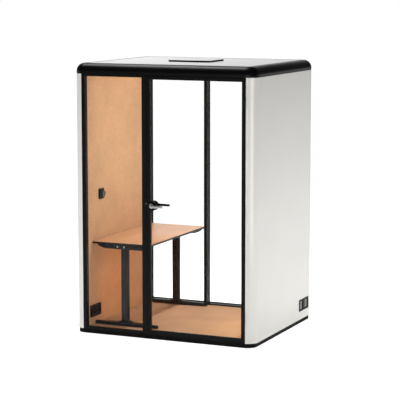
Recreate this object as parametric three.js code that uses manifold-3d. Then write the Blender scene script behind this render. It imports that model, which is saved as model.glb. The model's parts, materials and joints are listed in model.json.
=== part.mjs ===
// Acoustic office pod for one person, with a fitted worktop.
// Millimetres, +Z up. The origin is on the floor under the centre of the shell, and the door faces -Y.

import * as THREE from 'three';
import { mergeVertices } from 'three/addons/utils/BufferGeometryUtils.js';
import Module from 'manifold-3d';

const wasm = await Module();
wasm.setup();

// Shell
const podWidth = 1600;
const podDepth = 1348;
const wallTop = 2143; // top edge of the side walls above the floor
const cornerRadius = 90; // upright corners of the shell, seen from above
const cornerLap = 12; // how far short of its tangent each corner arc meets the frame
const skinThickness = 3;
const skinReturn = 14; // fold of the skin along the frame
const fitGap = 0.4; // gap between pieces that rest against each other

// Base and floor
const plinthHeight = 34;
const plinthInset = 8; // the plinth stands back under the side walls
const carpetThickness = 14;
const footInset = 150; // levelling feet, from the shell's faces
const footDisc = 50;
const footDiscHeight = 8;
const footLift = 1; // a raised foot's height above the floor
const footStem = 12;
const footStemTop = 31; // top of a raised foot's stem above the floor
const footPocketDepth = 13;
const footPocketGap = 4;
const threadGap = 0.5;

// Front and rear frames
const jambWidth = 23.5;
const headHeight = 16;
const sillHeight = 16;
const rearFrameDepth = 105;
const rearRebate = 29; // depth of the open rebate behind the rear glass
const rearJambWidth = 15;
const rearJambFin = 3; // edge of a rear jamb beside the rebate
const rearPostWidth = 27;
const rearSillHeight = 25;
const sideLightWidth = 520; // clear width of the fixed pane beside the door
const postWidth = 40;
const stopDepth = 10; // depth of the lip that the door closes against
const stopOverlap = 4;
const paneThickness = 10;
const paneSetback = 6; // from the frame's outer face to the glass
const paneBite = 4.5; // depth of glass held in a groove
const paneGap = 0.5;

// Door leaf
const leafThickness = 42;
const stileWidth = 23;
const railHeight = 23;
const leafGap = 3; // round the leaf at the post, the head and the threshold
const hingeGap = 4; // between the leaf and the hinge jamb
const jambLip = 6; // face of the hinge jamb beside the leaf
const headLip = 4;
const thresholdHeight = 8;
const sealThickness = 5.2;
const sealWidth = 3;
const sealInset = 0.8;

// Door hinges
const hingeLength = 96;
const hingeEndGap = 190; // from the leaf's end to the centre of the outer hinges
const knuckleRadius = 6.5;
const knuckleGap = 0.6;
const hingePinRadius = 3;
const hingePinGap = 0.2;
const hingePlateThickness = 1.2;
const hingePlateDepth = 34;
const hingeStandOff = 7; // from the door's face to the pin's axis

// Lever handle and latch
const handleHeight = 1094;
const handleBackset = 22.5; // from the stile's edge to the spindle's axis, over the glass
const glassHole = 12; // radius of the hole in the glass for the spindle
const leverLength = 118; // from the spindle's axis to the tip
const leverProjection = 38; // from the rose's face to the middle of the grip
const leverHeight = 22;
const leverTipHeight = 18;
const leverThickness = 10;
const leverEdge = 4;
const leverBend = 16;
const collarRadius = 10;
const collarLength = 9;
const collarLap = 2; // length of the grip's root inside the collar
const flangeRadius = 20; // bright ring at the root of the outer lever
const flangeThickness = 4;
const roseRadius = 40;
const roseThickness = 10;
const rosePadInset = 4; // from the stile's edge to the part of a rose that bears on the glass
const spindleSide = 6.5;
const spindleBite = 11; // depth of the spindle's socket in the outer lever
const boltThrow = 7;
const boltThickness = 10;
const boltHeight = 15;
const boltNose = 6; // slope of the bolt's tip
const boltRise = 8; // from the spindle's axis to the bolt's lower edge
const boltTailWall = 1.8;
const camTurn = 40; // turn of the lever that draws the bolt in, in degrees
const camLag = 30; // angle of the cam behind upright at rest, in degrees
const camTipRadius = 1.8;
const camThickness = 5;
const camGap = 0.6;
const camNeck = 40; // how far the round tip runs on behind its widest part, in degrees
const caseWall = 1.5;
const caseDepth = 20;
const caseBelow = 14;
const caseAbove = 28;
const caseBeyond = 16; // from the spindle's axis to the case's end
const strikeThickness = 1.4;
const latchClearance = 1.6;

// Roof
const capUpright = 18.5; // straight part of the roof edge
const capRadius = 66; // rounded part of the roof edge
const capLip = 18; // flat rim at the top of the rounding
const capThickness = 4;
const capCornerLeast = 6;
const roofStep = 1; // the roof panel lies this far below the rim
const ledgeThickness = 20; // roof panel under the fan
const ceilingThickness = 12;
const ventLength = 380;
const ventWidth = 330;
const ventCorner = 30;
const ventRise = 11;
const ventWall = 12;
const ventInset = 3;
const ventSlot = 44;
const ventSlotHeight = 7;
const ventSlotPitch = 60;
const ventCoverThickness = 3;
const lightLength = 800;
const lightWidth = 60;
const lightDrop = 10;
const lightOffset = 260; // from the middle of the ceiling towards the seat

// Extract fan
const fanSize = 160;
const fanDepth = 38;
const fanWall = 4;
const fanCornerGap = 0.6;
const bladeCount = 7;
const bladeTipGap = 2;
const bladeThickness = 2;
const bladeChord = 29;
const bladeRootAngle = 52;
const bladeTipAngle = 26;
const rotorHubRadius = 26;
const rotorHubHeight = 24;
const rotorHubEdge = 3;
const motorHeight = 8;
const motorGap = 1;
const strutWidth = 8;
const strutHeight = 5;
const rotorPinRadius = 3;
const rotorPinLength = 5;
const rotorPinGap = 0.3;
const grilleSlot = 8;
const grillePitch = 20;
const grilleCount = 7;

// Wall control and outlets
const controlWidth = 86;
const controlHeight = 86;
const controlThickness = 9;
const controlCorner = 8;
const controlFromFront = 228; // from the frame's inner face to the plate's centre
const controlLevel = 1129;
const knobRadius = 29;
const knobHeight = 24;
const knobTaper = 2.5;
const knobRim = 3;
const knobPinRadius = 4;
const knobPinLength = 6;
const knobPinGap = 0.3;
const outletWidth = 180;
const outletHeight = 99;
const outletThickness = 12;
const outletCorner = 6;
const outletWell = 46;
const outletWellDepth = 8;
const outletFromFront = 106;
const outletLevel = 163;
const serviceWidth = 224;
const serviceHeight = 100;
const serviceFlange = 3;
const serviceCorner = 4;
const serviceBodyInset = 9;
const serviceBodyDepth = 34;
const serviceWell = 70;
const serviceWellDepth = 12;
const serviceFromRear = 218;
const serviceLevel = 155;

// Desk
const deskDepth = 529;
const deskTopLevel = 702; // top of the desk above the carpet
const deskTopThickness = 18;
const deskTopBevel = 4;
const deskWallGap = 4;
const deskFrontGap = 60;
const deskRearGap = 7;
const deskCorner = 6;
const columnSetback = 252; // from the desk's user edge to the columns
const columnInset = 55; // from the desk's ends to the columns
const columnWidth = 70;
const columnThickness = 46;
const columnCorner = 20;
const armWallInset = 27;
const armUserInset = 11;
const armWidth = 58;
const armCorner = 19;
const armDepth = 40;
const armTipDepth = 9;
const armSweep = 110; // length of the curve at each end of an arm
const armShoulder = 37;
const footOverhang = 45; // past the desk's user edge
const footWallGap = 2;
const footWidth = 70;
const footTipRadius = 20;
const footHeight = 28;
const footTipHeight = 22;
const footFlat = 44; // flat half length under the column
const beamWidth = 50;
const beamHeight = 30;
const beamCorner = 5;

// Smoothness of curved forms
const cornerSteps = 10; // flats in a quarter turn of the shell's corners
const capSteps = 7;
const filletSteps = 4; // flats in a quarter turn of small roundings
const sweepSteps = 16;
const roundSteps = 24;
const smallSteps = 14;
const leverSteps = 16;

// Finishes
const whiteShell = { color: 0xe6e5e2, roughness: 0.45, metalness: 0.0 };
const blackCoat = { color: 0x1a1a1b, roughness: 0.45, metalness: 0.3 };
const blackPlastic = { color: 0x202022, roughness: 0.55, metalness: 0.0 };
const paleRoof = { color: 0xdcdcdb, roughness: 0.5, metalness: 0.0 };
const tanFelt = { color: 0xc98f5f, roughness: 0.95, metalness: 0.0 };
const tanCarpet = { color: 0xbd7a4c, roughness: 1.0, metalness: 0.0 };
const clearGlass = { color: 0xf4f8f7, roughness: 0.05, metalness: 0.0, transparent: true, opacity: 0.25 };
const oakFace = { color: 0xd9ae82, roughness: 0.5, metalness: 0.0 };
const satinSteel = { color: 0xb9bbbc, roughness: 0.3, metalness: 0.9 };
const blackRubber = { color: 0x121212, roughness: 0.85, metalness: 0.0 };
const greyPlastic = { color: 0x8b8b89, roughness: 0.6, metalness: 0.0 };
const milkyLens = { color: 0xf6f4ee, roughness: 0.4, metalness: 0.0 };

// Places that neighbouring pieces share
const halfWidth = podWidth / 2;
const front = -podDepth / 2;
const rear = podDepth / 2;
const frameEdge = halfWidth - cornerRadius + cornerLap;
const innerHalf = frameEdge - jambWidth;
const frameDepth = leafThickness + sealThickness + 2 * fitGap + stopDepth;
const frontInner = front + frameDepth;
const rearInner = rear - rearFrameDepth;
const rearFace = rear - rearRebate;
const rearHalf = frameEdge - rearJambWidth;
const deckTop = plinthHeight + fitGap;
const carpetTop = deckTop + carpetThickness;
const postLeft = -innerHalf + sideLightWidth;
const postRight = postLeft + postWidth;
const rearPostRight = postLeft + rearPostWidth;
const leafLeft = postRight + leafGap;
const lipEdge = frameEdge - jambLip;
const leafRight = lipEdge - hingeGap;
const leafRear = front + leafThickness;
const leafBottom = deckTop + thresholdHeight + leafGap;
const leafTop = wallTop - headLip - leafGap;
const stopFront = frontInner - stopDepth;
const stopEdge = postRight + leafGap + stopOverlap;
const grooveDepth = paneBite + paneGap;
const roofBottom = wallTop + fitGap;
const roofRim = roofBottom + capUpright + capRadius;
const roofTop = roofRim - roofStep;
const ceilingBottom = wallTop - ceilingThickness;

const upAxis = new THREE.Vector3(0, 0, 1);
const pod = new THREE.Group();

function add(name, geometry, finish) {
  const piece = new THREE.Mesh(geometry, new THREE.MeshStandardMaterial(finish));
  piece.name = name;
  pod.add(piece);
}

// Joining and cutting of closed meshes
function toSolid(geometry) {
  const bare = new THREE.BufferGeometry();
  bare.setAttribute('position', geometry.attributes.position);
  bare.setIndex(geometry.index);
  const welded = mergeVertices(bare);
  return new wasm.Manifold(new wasm.Mesh({
    numProp: 3,
    vertProperties: new Float32Array(welded.attributes.position.array),
    triVerts: new Uint32Array(welded.index.array),
  }));
}

function toGeometry(solid) {
  const { vertProperties, triVerts } = solid.getMesh();
  const geometry = new THREE.BufferGeometry();
  geometry.setAttribute('position', new THREE.BufferAttribute(new Float32Array(vertProperties), 3));
  geometry.setIndex(new THREE.BufferAttribute(new Uint32Array(triVerts), 1));
  geometry.computeVertexNormals();
  return geometry;
}

function join(pieces) {
  return toGeometry(pieces.map(toSolid).reduce((whole, piece) => whole.add(piece)));
}

function cut(piece, tools) {
  return toGeometry(tools.map(toSolid).reduce((whole, tool) => whole.subtract(tool), toSolid(piece)));
}

function common(one, other) {
  return toGeometry(toSolid(one).intersect(toSolid(other)));
}

// Basic forms
function outline(points) {
  return new THREE.Shape(points.map(([u, v]) => new THREE.Vector2(u, v)));
}

function roundedRect(left, right, low, high, radius) {
  const shape = new THREE.Shape();
  shape.absarc(right - radius, low + radius, radius, -Math.PI / 2, 0);
  shape.absarc(right - radius, high - radius, radius, 0, Math.PI / 2);
  shape.absarc(left + radius, high - radius, radius, Math.PI / 2, Math.PI);
  shape.absarc(left + radius, low + radius, radius, Math.PI, 1.5 * Math.PI);
  return shape;
}

function extrude(shape, depth, steps) {
  return new THREE.ExtrudeGeometry(shape, { depth, bevelEnabled: false, curveSegments: steps / 2 });
}

// A plan outline (x, y) raised from one level to another
function upright(shape, bottom, top, steps = filletSteps) {
  return extrude(shape, top - bottom, steps).translate(0, 0, bottom);
}

// A section (y, z) drawn out along X
function alongX(shape, start, end, steps = filletSteps) {
  const turn = new THREE.Matrix4().makeBasis(
    new THREE.Vector3(0, 1, 0), new THREE.Vector3(0, 0, 1), new THREE.Vector3(1, 0, 0));
  return extrude(shape, end - start, steps).applyMatrix4(turn).translate(start, 0, 0);
}

// A section (x, z) drawn out along Y
function alongY(shape, start, end, steps = filletSteps) {
  return extrude(shape, end - start, steps).rotateX(Math.PI / 2).translate(0, end, 0);
}

function box(x0, x1, y0, y1, z0, z1) {
  const block = new THREE.BoxGeometry(x1 - x0, y1 - y0, z1 - z0);
  return block.translate((x0 + x1) / 2, (y0 + y1) / 2, (z0 + z1) / 2);
}

function postAlongZ(x, y, radius, bottom, top, steps = roundSteps) {
  const post = new THREE.CylinderGeometry(radius, radius, top - bottom, steps);
  return post.rotateX(Math.PI / 2).translate(x, y, (bottom + top) / 2);
}

function postAlongY(x, z, radius, start, end, steps = roundSteps) {
  return new THREE.CylinderGeometry(radius, radius, end - start, steps).translate(x, (start + end) / 2, z);
}

// Turned forms stand on the Z axis and are given as [radius, height] from the foot to the top.
function turned(profile, steps = roundSteps) {
  const points = profile.map(([radius, height]) => new THREE.Vector2(radius, height));
  return new THREE.LatheGeometry(points, steps).rotateX(Math.PI / 2);
}

// Skin through rings of equal count, closed at both ends
function loft(rings) {
  const count = rings[0].length;
  const triangles = [];
  for (let k = 0; k + 1 < rings.length; k += 1) {
    for (let i = 0; i < count; i += 1) {
      const a = k * count + i;
      const b = k * count + (i + 1) % count;
      triangles.push(a, b, b + count, a, b + count, a + count);
    }
  }
  const last = (rings.length - 1) * count;
  for (let i = 1; i + 1 < count; i += 1) {
    triangles.push(0, i + 1, i);
    triangles.push(last, last + i, last + i + 1);
  }
  return indexed(rings.flat(), triangles);
}

function indexed(points, triangles) {
  const geometry = new THREE.BufferGeometry().setFromPoints(points);
  geometry.setIndex(triangles);
  geometry.computeVertexNormals();
  return geometry;
}

// Section of a glazing bar: u runs across its face towards the glass, v into the wall's depth.
function glazingBar(width, depth, setback) {
  const near = setback - paneGap;
  const far = setback + paneThickness + paneGap;
  const floor = width - grooveDepth;
  return [
    [0, 0], [width, 0], [width, near], [floor, near],
    [floor, far], [width, far], [width, depth], [0, depth],
  ];
}

// A wall has its outer plane (face), its way into the pod (into) and its glass at a setback.
const frontWall = { face: front, into: 1, setback: paneSetback };
const rearWall = { face: rear, into: -1, setback: rearRebate + paneSetback };
const rebateWall = { face: rearFace, into: -1, setback: paneSetback };

function uprightBar(width, depth, edge, towards, wall, bottom, top) {
  const section = glazingBar(width, depth, wall.setback).map(
    ([u, v]) => [edge + towards * u, wall.face + wall.into * v]);
  return upright(outline(section), bottom, top);
}

function levelBar(width, depth, edge, towards, wall, start, end) {
  const section = glazingBar(width, depth, wall.setback).map(
    ([u, v]) => [wall.face + wall.into * v, edge + towards * u]);
  return alongX(outline(section), start, end);
}

function pane(x0, x1, z0, z1, wall) {
  const middle = wall.face + wall.into * (wall.setback + paneThickness / 2);
  return box(x0 - paneBite, x1 + paneBite, middle - paneThickness / 2, middle + paneThickness / 2,
    z0 - paneBite, z1 + paneBite);
}

// Base, levelling feet and carpet
function makeBase() {
  const half = halfWidth - plinthInset;
  const plan = roundedRect(-half, half, front, rear, cornerRadius - plinthInset);
  const slab = upright(plan, 0, plinthHeight, cornerSteps);
  const stemHoleTop = footStemTop + fitGap;
  const pockets = [];
  let count = 0;
  for (const x of [footInset - halfWidth, halfWidth - footInset]) {
    for (const y of [front + footInset, rear - footInset]) {
      count += 1;
      pockets.push(postAlongZ(x, y, footDisc / 2 + footPocketGap, -fitGap, footPocketDepth));
      pockets.push(postAlongZ(x, y, footStem / 2 + threadGap, 0, stemHoleTop, smallSteps));
      const profile = [
        [0, footLift], [footDisc / 2, footLift], [footDisc / 2, footLift + footDiscHeight],
        [footStem / 2, footLift + footDiscHeight], [footStem / 2, footStemTop], [0, footStemTop],
      ];
      add(`levelling_foot_${count}`, turned(profile, smallSteps).translate(x, y, 0), blackRubber);
    }
  }
  add('base_plinth', cut(slab, pockets), blackCoat);
  const side = innerHalf - fitGap;
  const carpet = box(-side, side, frontInner + fitGap, rearInner - fitGap, deckTop, carpetTop);
  add('floor_carpet', carpet, tanCarpet);
}

// Side walls: a folded skin round each end, filled by a felt-faced acoustic lining
function cornerPath(inset, edge) {
  const radius = cornerRadius - inset;
  const centre = halfWidth - cornerRadius;
  const sweep = Math.acos((edge - centre) / radius);
  return { radius, centre, sweep, low: front + cornerRadius, high: rear - cornerRadius };
}

function skinOutline() {
  const edge = frameEdge + fitGap;
  const outer = cornerPath(0, edge);
  const inner = cornerPath(skinThickness, edge + skinThickness);
  const fold = outer.high + outer.radius * Math.sin(outer.sweep) - skinReturn;
  const shape = new THREE.Shape();
  shape.absarc(outer.centre, outer.low, outer.radius, -outer.sweep, 0);
  shape.absarc(outer.centre, outer.high, outer.radius, 0, outer.sweep);
  shape.lineTo(edge, fold);
  shape.lineTo(edge + skinThickness, fold);
  shape.absarc(inner.centre, inner.high, inner.radius, inner.sweep, 0, true);
  shape.absarc(inner.centre, inner.low, inner.radius, 0, -inner.sweep, true);
  shape.lineTo(edge + skinThickness, -fold);
  shape.lineTo(edge, -fold);
  return shape;
}

function liningOutline() {
  const inset = skinThickness + fitGap;
  const edge = frameEdge + fitGap + inset;
  const arc = cornerPath(inset, edge);
  const shape = new THREE.Shape();
  shape.moveTo(innerHalf, frontInner + fitGap);
  shape.lineTo(edge, frontInner + fitGap);
  shape.absarc(arc.centre, arc.low, arc.radius, -arc.sweep, 0);
  shape.absarc(arc.centre, arc.high, arc.radius, 0, arc.sweep);
  shape.lineTo(edge, rearInner - fitGap);
  shape.lineTo(innerHalf, rearInner - fitGap);
  return shape;
}

function onSide(shape, side) {
  return outline(shape.getPoints(cornerSteps / 2).map((point) => [side * point.x, point.y]));
}

function makeSideWalls() {
  const y = rear - serviceFromRear;
  const reachY = serviceWidth / 2 - serviceBodyInset + fitGap;
  const reachZ = serviceHeight / 2 - serviceBodyInset + fitGap;
  const depth = serviceBodyDepth + fitGap;
  const pocket = box(halfWidth - depth, halfWidth + fitGap, y - reachY, y + reachY,
    serviceLevel - reachZ, serviceLevel + reachZ);
  for (const [name, side] of [['left', -1], ['right', 1]]) {
    const skin = upright(onSide(skinOutline(), side), deckTop, wallTop);
    const lining = upright(onSide(liningOutline(), side), deckTop, wallTop);
    const served = side > 0;
    add(`side_shell_${name}`, served ? cut(skin, [pocket]) : skin, whiteShell);
    add(`wall_lining_${name}`, served ? cut(lining, [pocket]) : lining, tanFelt);
  }
}

// Front frame: fixed side light on the left, door bay on the right
function makeFrontFrame() {
  const lightJamb = uprightBar(jambWidth, frameDepth, -frameEdge, 1, frontWall, deckTop, wallTop);
  add('front_jamb_left', lightJamb, blackCoat);
  const hingeJamb = [
    [frameEdge, front], [lipEdge, front], [lipEdge, stopFront],
    [innerHalf, stopFront], [innerHalf, frontInner], [frameEdge, frontInner],
  ];
  add('front_jamb_right', upright(outline(hingeJamb), deckTop, wallTop), blackCoat);

  const start = -innerHalf + fitGap;
  const end = innerHalf - fitGap;
  const lipEnd = lipEdge - fitGap;
  const lightBottom = deckTop + sillHeight;
  const lightTop = wallTop - headHeight;
  const sillTop = deckTop + thresholdHeight;
  add('front_sill', join([
    levelBar(sillHeight, frameDepth, deckTop, 1, frontWall, start, postRight),
    box(postLeft, end, front, frontInner, deckTop, sillTop),
    box(postLeft, lipEnd, front, stopFront - fitGap, deckTop, sillTop),
    box(postLeft, end, stopFront, frontInner, deckTop, leafBottom + stopOverlap),
  ]), blackCoat);
  add('front_head', join([
    levelBar(headHeight, frameDepth, wallTop, -1, frontWall, start, postRight),
    box(postLeft, end, front, frontInner, wallTop - headLip, wallTop),
    box(postLeft, lipEnd, front, stopFront - fitGap, wallTop - headLip, wallTop),
    box(postLeft, end, stopFront, frontInner, leafTop - stopOverlap, wallTop),
  ]), blackCoat);

  const postBottom = lightBottom + fitGap;
  const postTop = lightTop - fitGap;
  const keep = latchKeep();
  const post = join([
    uprightBar(postWidth, frameDepth, postRight, -1, frontWall, postBottom, postTop),
    box(postRight - stopOverlap, stopEdge, stopFront, frontInner, postBottom, postTop),
  ]);
  add('front_post', cut(post, [
    box(keep.left, postRight + fitGap, front - fitGap, keep.back, keep.bottom, keep.top),
  ]), blackCoat);
  add('strike_plate', box(keep.left + fitGap, keep.left + fitGap + strikeThickness,
    front + fitGap, keep.back - fitGap, keep.bottom + fitGap, keep.top - fitGap), satinSteel);
  add('front_glass', pane(-innerHalf, postLeft, lightBottom, lightTop, frontWall), clearGlass);
}

// Rear frame: two fixed panes beside one post
function makeRearFrame() {
  const depth = rearFrameDepth - rearRebate;
  const start = -rearHalf + fitGap;
  const end = rearHalf - fitGap;
  const fin = frameEdge - rearJambFin;
  const glassBottom = deckTop + rearSillHeight;
  const glassTop = wallTop - headHeight;
  const jamb = (side) => join([
    uprightBar(rearJambWidth, depth, side * frameEdge, -side, rebateWall, deckTop, wallTop),
    box(Math.min(side * frameEdge, side * fin), Math.max(side * frameEdge, side * fin),
      rearInner, rear, deckTop, wallTop),
  ]);
  add('rear_jamb_left', jamb(-1), blackCoat);
  add('rear_jamb_right', jamb(1), blackCoat);
  const levelPiece = (height, edge, towards, low, high) => join([
    levelBar(height, rearFrameDepth, edge, towards, rearWall, start, end),
    box(fitGap - fin, fin - fitGap, rearFace + fitGap, rear, low, high),
  ]);
  add('rear_sill', levelPiece(rearSillHeight, deckTop, 1, deckTop, glassBottom), blackCoat);
  add('rear_head', levelPiece(headHeight, wallTop, -1, glassTop, wallTop), blackCoat);
  const bottom = glassBottom + fitGap;
  const top = glassTop - fitGap;
  const grooveFace = rearFace - paneSetback + paneGap;
  add('rear_post', cut(uprightBar(rearPostWidth, depth, rearPostRight, -1, rebateWall, bottom, top), [
    box(rearPostRight - grooveDepth, rearPostRight + fitGap, grooveFace - paneThickness - 2 * paneGap,
      grooveFace, bottom - fitGap, top + fitGap),
  ]), blackCoat);
  const rearPane = (from, to) => pane(from, to, glassBottom, glassTop, rearWall);
  add('rear_glass_left', rearPane(-rearHalf, postLeft), clearGlass);
  add('rear_glass_right', rearPane(rearPostRight, rearHalf), clearGlass);
}

// The lock: spindle, cam, bolt and case share these places.
function lockPlaces() {
  const axisX = leafLeft + stileWidth + handleBackset;
  const lag = THREE.MathUtils.degToRad(camLag);
  const lead = THREE.MathUtils.degToRad(camTurn - camLag);
  const camReach = boltThrow / (Math.sin(lag) + Math.sin(lead));
  const camX = axisX - camReach * Math.sin(lag);
  const caseBack = leafRear - 2 * caseWall - fitGap;
  return {
    axisX, lag, camReach, camX, caseBack,
    caseFront: caseBack - caseDepth,
    caseLeft: leafLeft + caseWall,
    caseRight: axisX + caseBeyond,
    caseBottom: handleHeight - caseBelow,
    caseTop: handleHeight + caseAbove,
    boltTip: leafLeft - boltThrow,
    boltTail: camX + camTipRadius + camGap + boltTailWall,
    boltBottom: handleHeight + boltRise,
    boltTop: handleHeight + boltRise + boltHeight,
    boltFront: caseBack - caseDepth / 2 - boltThickness / 2,
    boltBack: caseBack - caseDepth / 2 + boltThickness / 2,
  };
}

// Recess of the post in front of the latch, open to the front so that the leaf can swing out
function latchKeep() {
  const lock = lockPlaces();
  return {
    left: lock.boltTip - latchClearance - strikeThickness - 2 * fitGap,
    back: lock.boltBack + latchClearance,
    bottom: lock.boltBottom - latchClearance,
    top: lock.boltTop + latchClearance,
  };
}

// Room for the lock case in the stile and in the inner rose
function casePocket(lock) {
  return box(leafLeft - fitGap, lock.caseRight + fitGap, lock.caseFront - fitGap, lock.caseBack + fitGap,
    lock.caseBottom - fitGap, lock.caseTop + fitGap);
}

// Door leaf
function makeDoor() {
  const lock = lockPlaces();
  const glassLeft = leafLeft + stileWidth;
  const glassRight = leafRight - stileWidth;
  const glassBottom = leafBottom + railHeight;
  const glassTop = leafTop - railHeight;
  const lockStile = uprightBar(stileWidth, leafThickness, leafLeft, 1, frontWall, leafBottom, leafTop);
  add('door_stile_lock', cut(lockStile, [casePocket(lock)]), blackCoat);
  add('door_stile_hinge',
    uprightBar(stileWidth, leafThickness, leafRight, -1, frontWall, leafBottom, leafTop), blackCoat);
  const rail = (edge, towards) => levelBar(
    railHeight, leafThickness, edge, towards, frontWall, glassLeft + fitGap, glassRight - fitGap);
  add('door_rail_bottom', rail(leafBottom, 1), blackCoat);
  add('door_rail_top', rail(leafTop, -1), blackCoat);
  add('door_glass', cut(pane(glassLeft, glassRight, glassBottom, glassTop, frontWall), [
    postAlongY(lock.axisX, handleHeight, glassHole, front, leafRear),
  ]), clearGlass);

  const left = leafLeft + sealInset;
  const right = leafRight - sealInset;
  const low = leafBottom + sealInset;
  const high = leafTop - sealInset;
  const seal = outline([[left, low], [right, low], [right, high], [left, high]]);
  seal.holes.push(outline([
    [left + sealWidth, low + sealWidth], [right - sealWidth, low + sealWidth],
    [right - sealWidth, high - sealWidth], [left + sealWidth, high - sealWidth],
  ]));
  add('door_seal', alongY(seal, leafRear + fitGap, leafRear + fitGap + sealThickness), blackRubber);
}

// Butt hinges: the pin's axis stands in front of the gap between leaf and jamb.
function makeHinges() {
  const axisX = leafRight + hingeGap / 2;
  const axisY = front - hingeStandOff;
  const plateFront = axisY + knuckleRadius + fitGap;
  const third = hingeLength / 3;
  const levels = {
    lower: leafBottom + hingeEndGap,
    middle: (leafBottom + leafTop) / 2,
    upper: leafTop - hingeEndGap,
  };
  const plate = (x0, low, high, knuckles) => [
    box(x0, x0 + hingePlateThickness, plateFront, plateFront + hingePlateDepth, low, high),
    ...knuckles.map(([from, to]) => box(
      x0, x0 + hingePlateThickness, axisY, plateFront + hingePlateDepth / 2, from, to)),
  ];
  for (const [name, level] of Object.entries(levels)) {
    const low = level - hingeLength / 2;
    const high = level + hingeLength / 2;
    const outer = [[low, low + third - knuckleGap], [high - third + knuckleGap, high]];
    const inner = [[low + third, high - third]];
    const knuckle = ([from, to]) => postAlongZ(axisX, axisY, knuckleRadius, from, to, smallSteps);
    add(`hinge_${name}_frame`, join([
      ...outer.map(knuckle),
      postAlongZ(axisX, axisY, hingePinRadius, low, high, smallSteps),
      ...plate(lipEdge - fitGap - hingePlateThickness, low, high, outer),
    ]), blackCoat);
    add(`hinge_${name}_door`, cut(join([
      ...inner.map(knuckle),
      ...plate(leafRight + fitGap, low, high, inner),
    ]), [postAlongZ(axisX, axisY, hingePinRadius + hingePinGap, low, high, smallSteps)]), blackCoat);
  }
}

// Lever grip: a flat bar bent from the spindle's axis round to the right, thinner towards its tip
function leverGrip(axisX, face, away) {
  const root = face + away * collarLength;
  const grip = face + away * leverProjection;
  const bendStart = new THREE.Vector3(axisX, grip - away * leverBend, handleHeight);
  const corner = new THREE.Vector3(axisX, grip, handleHeight);
  const bendEnd = new THREE.Vector3(axisX + leverBend, grip, handleHeight);
  const path = new THREE.CurvePath();
  path.add(new THREE.LineCurve3(new THREE.Vector3(axisX, root, handleHeight), bendStart));
  path.add(new THREE.QuadraticBezierCurve3(bendStart, corner, bendEnd));
  path.add(new THREE.LineCurve3(bendEnd, new THREE.Vector3(axisX + leverLength, grip, handleHeight)));
  const halfHeight = leverHeight / 2;
  const halfThickness = leverThickness / 2;
  const section = roundedRect(-halfHeight, halfHeight, -halfThickness, halfThickness, leverEdge);
  const bar = new THREE.ExtrudeGeometry(section, {
    steps: leverSteps, extrudePath: path, curveSegments: filletSteps / 2,
  });
  const points = bar.attributes.position;
  for (let i = 0; i < points.count; i += 1) {
    const along = THREE.MathUtils.clamp((points.getX(i) - bendEnd.x) / (leverLength - leverBend), 0, 1);
    const height = THREE.MathUtils.lerp(1, leverTipHeight / leverHeight, along);
    points.setZ(i, handleHeight + (points.getZ(i) - handleHeight) * height);
  }
  return bar;
}

function makeHandle() {
  const lock = lockPlaces();
  const outerBack = front - fitGap;
  const outerFace = outerBack - roseThickness;
  const innerBack = leafRear + fitGap;
  const innerFace = innerBack + roseThickness;
  const outerGlass = front + paneSetback - fitGap;
  const innerGlass = front + paneSetback + paneThickness + fitGap;
  const padLeft = leafLeft + stileWidth + rosePadInset;
  const rightEnd = lock.axisX + roseRadius;
  const low = handleHeight - roseRadius;
  const high = handleHeight + roseRadius;
  const disc = (from, to) => postAlongY(lock.axisX, handleHeight, roseRadius, from, to);
  const discFrom = (left, from, to) => common(disc(from, to), box(left, rightEnd, from, to, low, high));
  const bore = (from, to) => postAlongY(
    lock.axisX, handleHeight, collarRadius + fitGap, from, to, smallSteps);
  const spindleHole = spindleSide / Math.SQRT2 + fitGap;
  add('lever_rose_outer', cut(join([
    disc(outerFace, outerBack), discFrom(padLeft, outerFace, outerGlass),
  ]), [bore(outerFace - fitGap, outerGlass + fitGap)]), blackCoat);
  add('lever_rose_inner', cut(join([
    disc(innerBack, innerFace), discFrom(padLeft, innerGlass, innerFace),
  ]), [
    casePocket(lock), bore(lock.caseBack, innerFace + fitGap),
    postAlongY(lock.axisX, handleHeight, spindleHole, innerGlass - fitGap, lock.caseFront, smallSteps),
  ]), blackCoat);

  const spindle = (reach, from, to) => box(lock.axisX - reach, lock.axisX + reach, from, to,
    handleHeight - reach, handleHeight + reach);
  const half = spindleSide / 2;
  const collarBack = front;
  const collarReach = collarLength + collarLap;
  const collar = (from, to) => postAlongY(lock.axisX, handleHeight, collarRadius, from, to);
  const outerCollar = collar(outerFace - collarReach, collarBack);
  const socketEnd = collarBack - spindleBite;
  const flangeBack = outerFace - fitGap;
  const flange = postAlongY(lock.axisX, handleHeight, flangeRadius, flangeBack - flangeThickness, flangeBack);
  add('lever_outer', cut(join([outerCollar, flange, leverGrip(lock.axisX, outerFace, -1)]), [
    spindle(half + fitGap, socketEnd, collarBack + fitGap),
  ]), satinSteel);

  const camMiddle = (lock.boltFront + lock.boltBack) / 2;
  const cam = alongY(camOutline(lock), camMiddle - camThickness / 2, camMiddle + camThickness / 2);
  const innerCollar = collar(leafRear + fitGap, innerFace + collarReach);
  add('lever_inner', join([
    innerCollar, leverGrip(lock.axisX, innerFace, 1), cam,
    spindle(half, socketEnd + fitGap, innerFace),
  ]), satinSteel);
}

// Cam: a finger from the spindle with a round tip, leaning back by the lag angle
function camOutline(lock) {
  const along = Math.PI / 2 + lock.lag;
  const wrap = Math.PI / 2 + THREE.MathUtils.degToRad(camNeck);
  const neck = camTipRadius * Math.sin(wrap);
  const tipX = lock.axisX + lock.camReach * Math.cos(along);
  const tipZ = handleHeight + lock.camReach * Math.sin(along);
  const shape = new THREE.Shape();
  shape.absarc(tipX, tipZ, camTipRadius, along - wrap, along + wrap);
  shape.lineTo(lock.axisX - neck * Math.sin(along), handleHeight + neck * Math.cos(along));
  shape.lineTo(lock.axisX + neck * Math.sin(along), handleHeight - neck * Math.cos(along));
  return shape;
}

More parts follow.
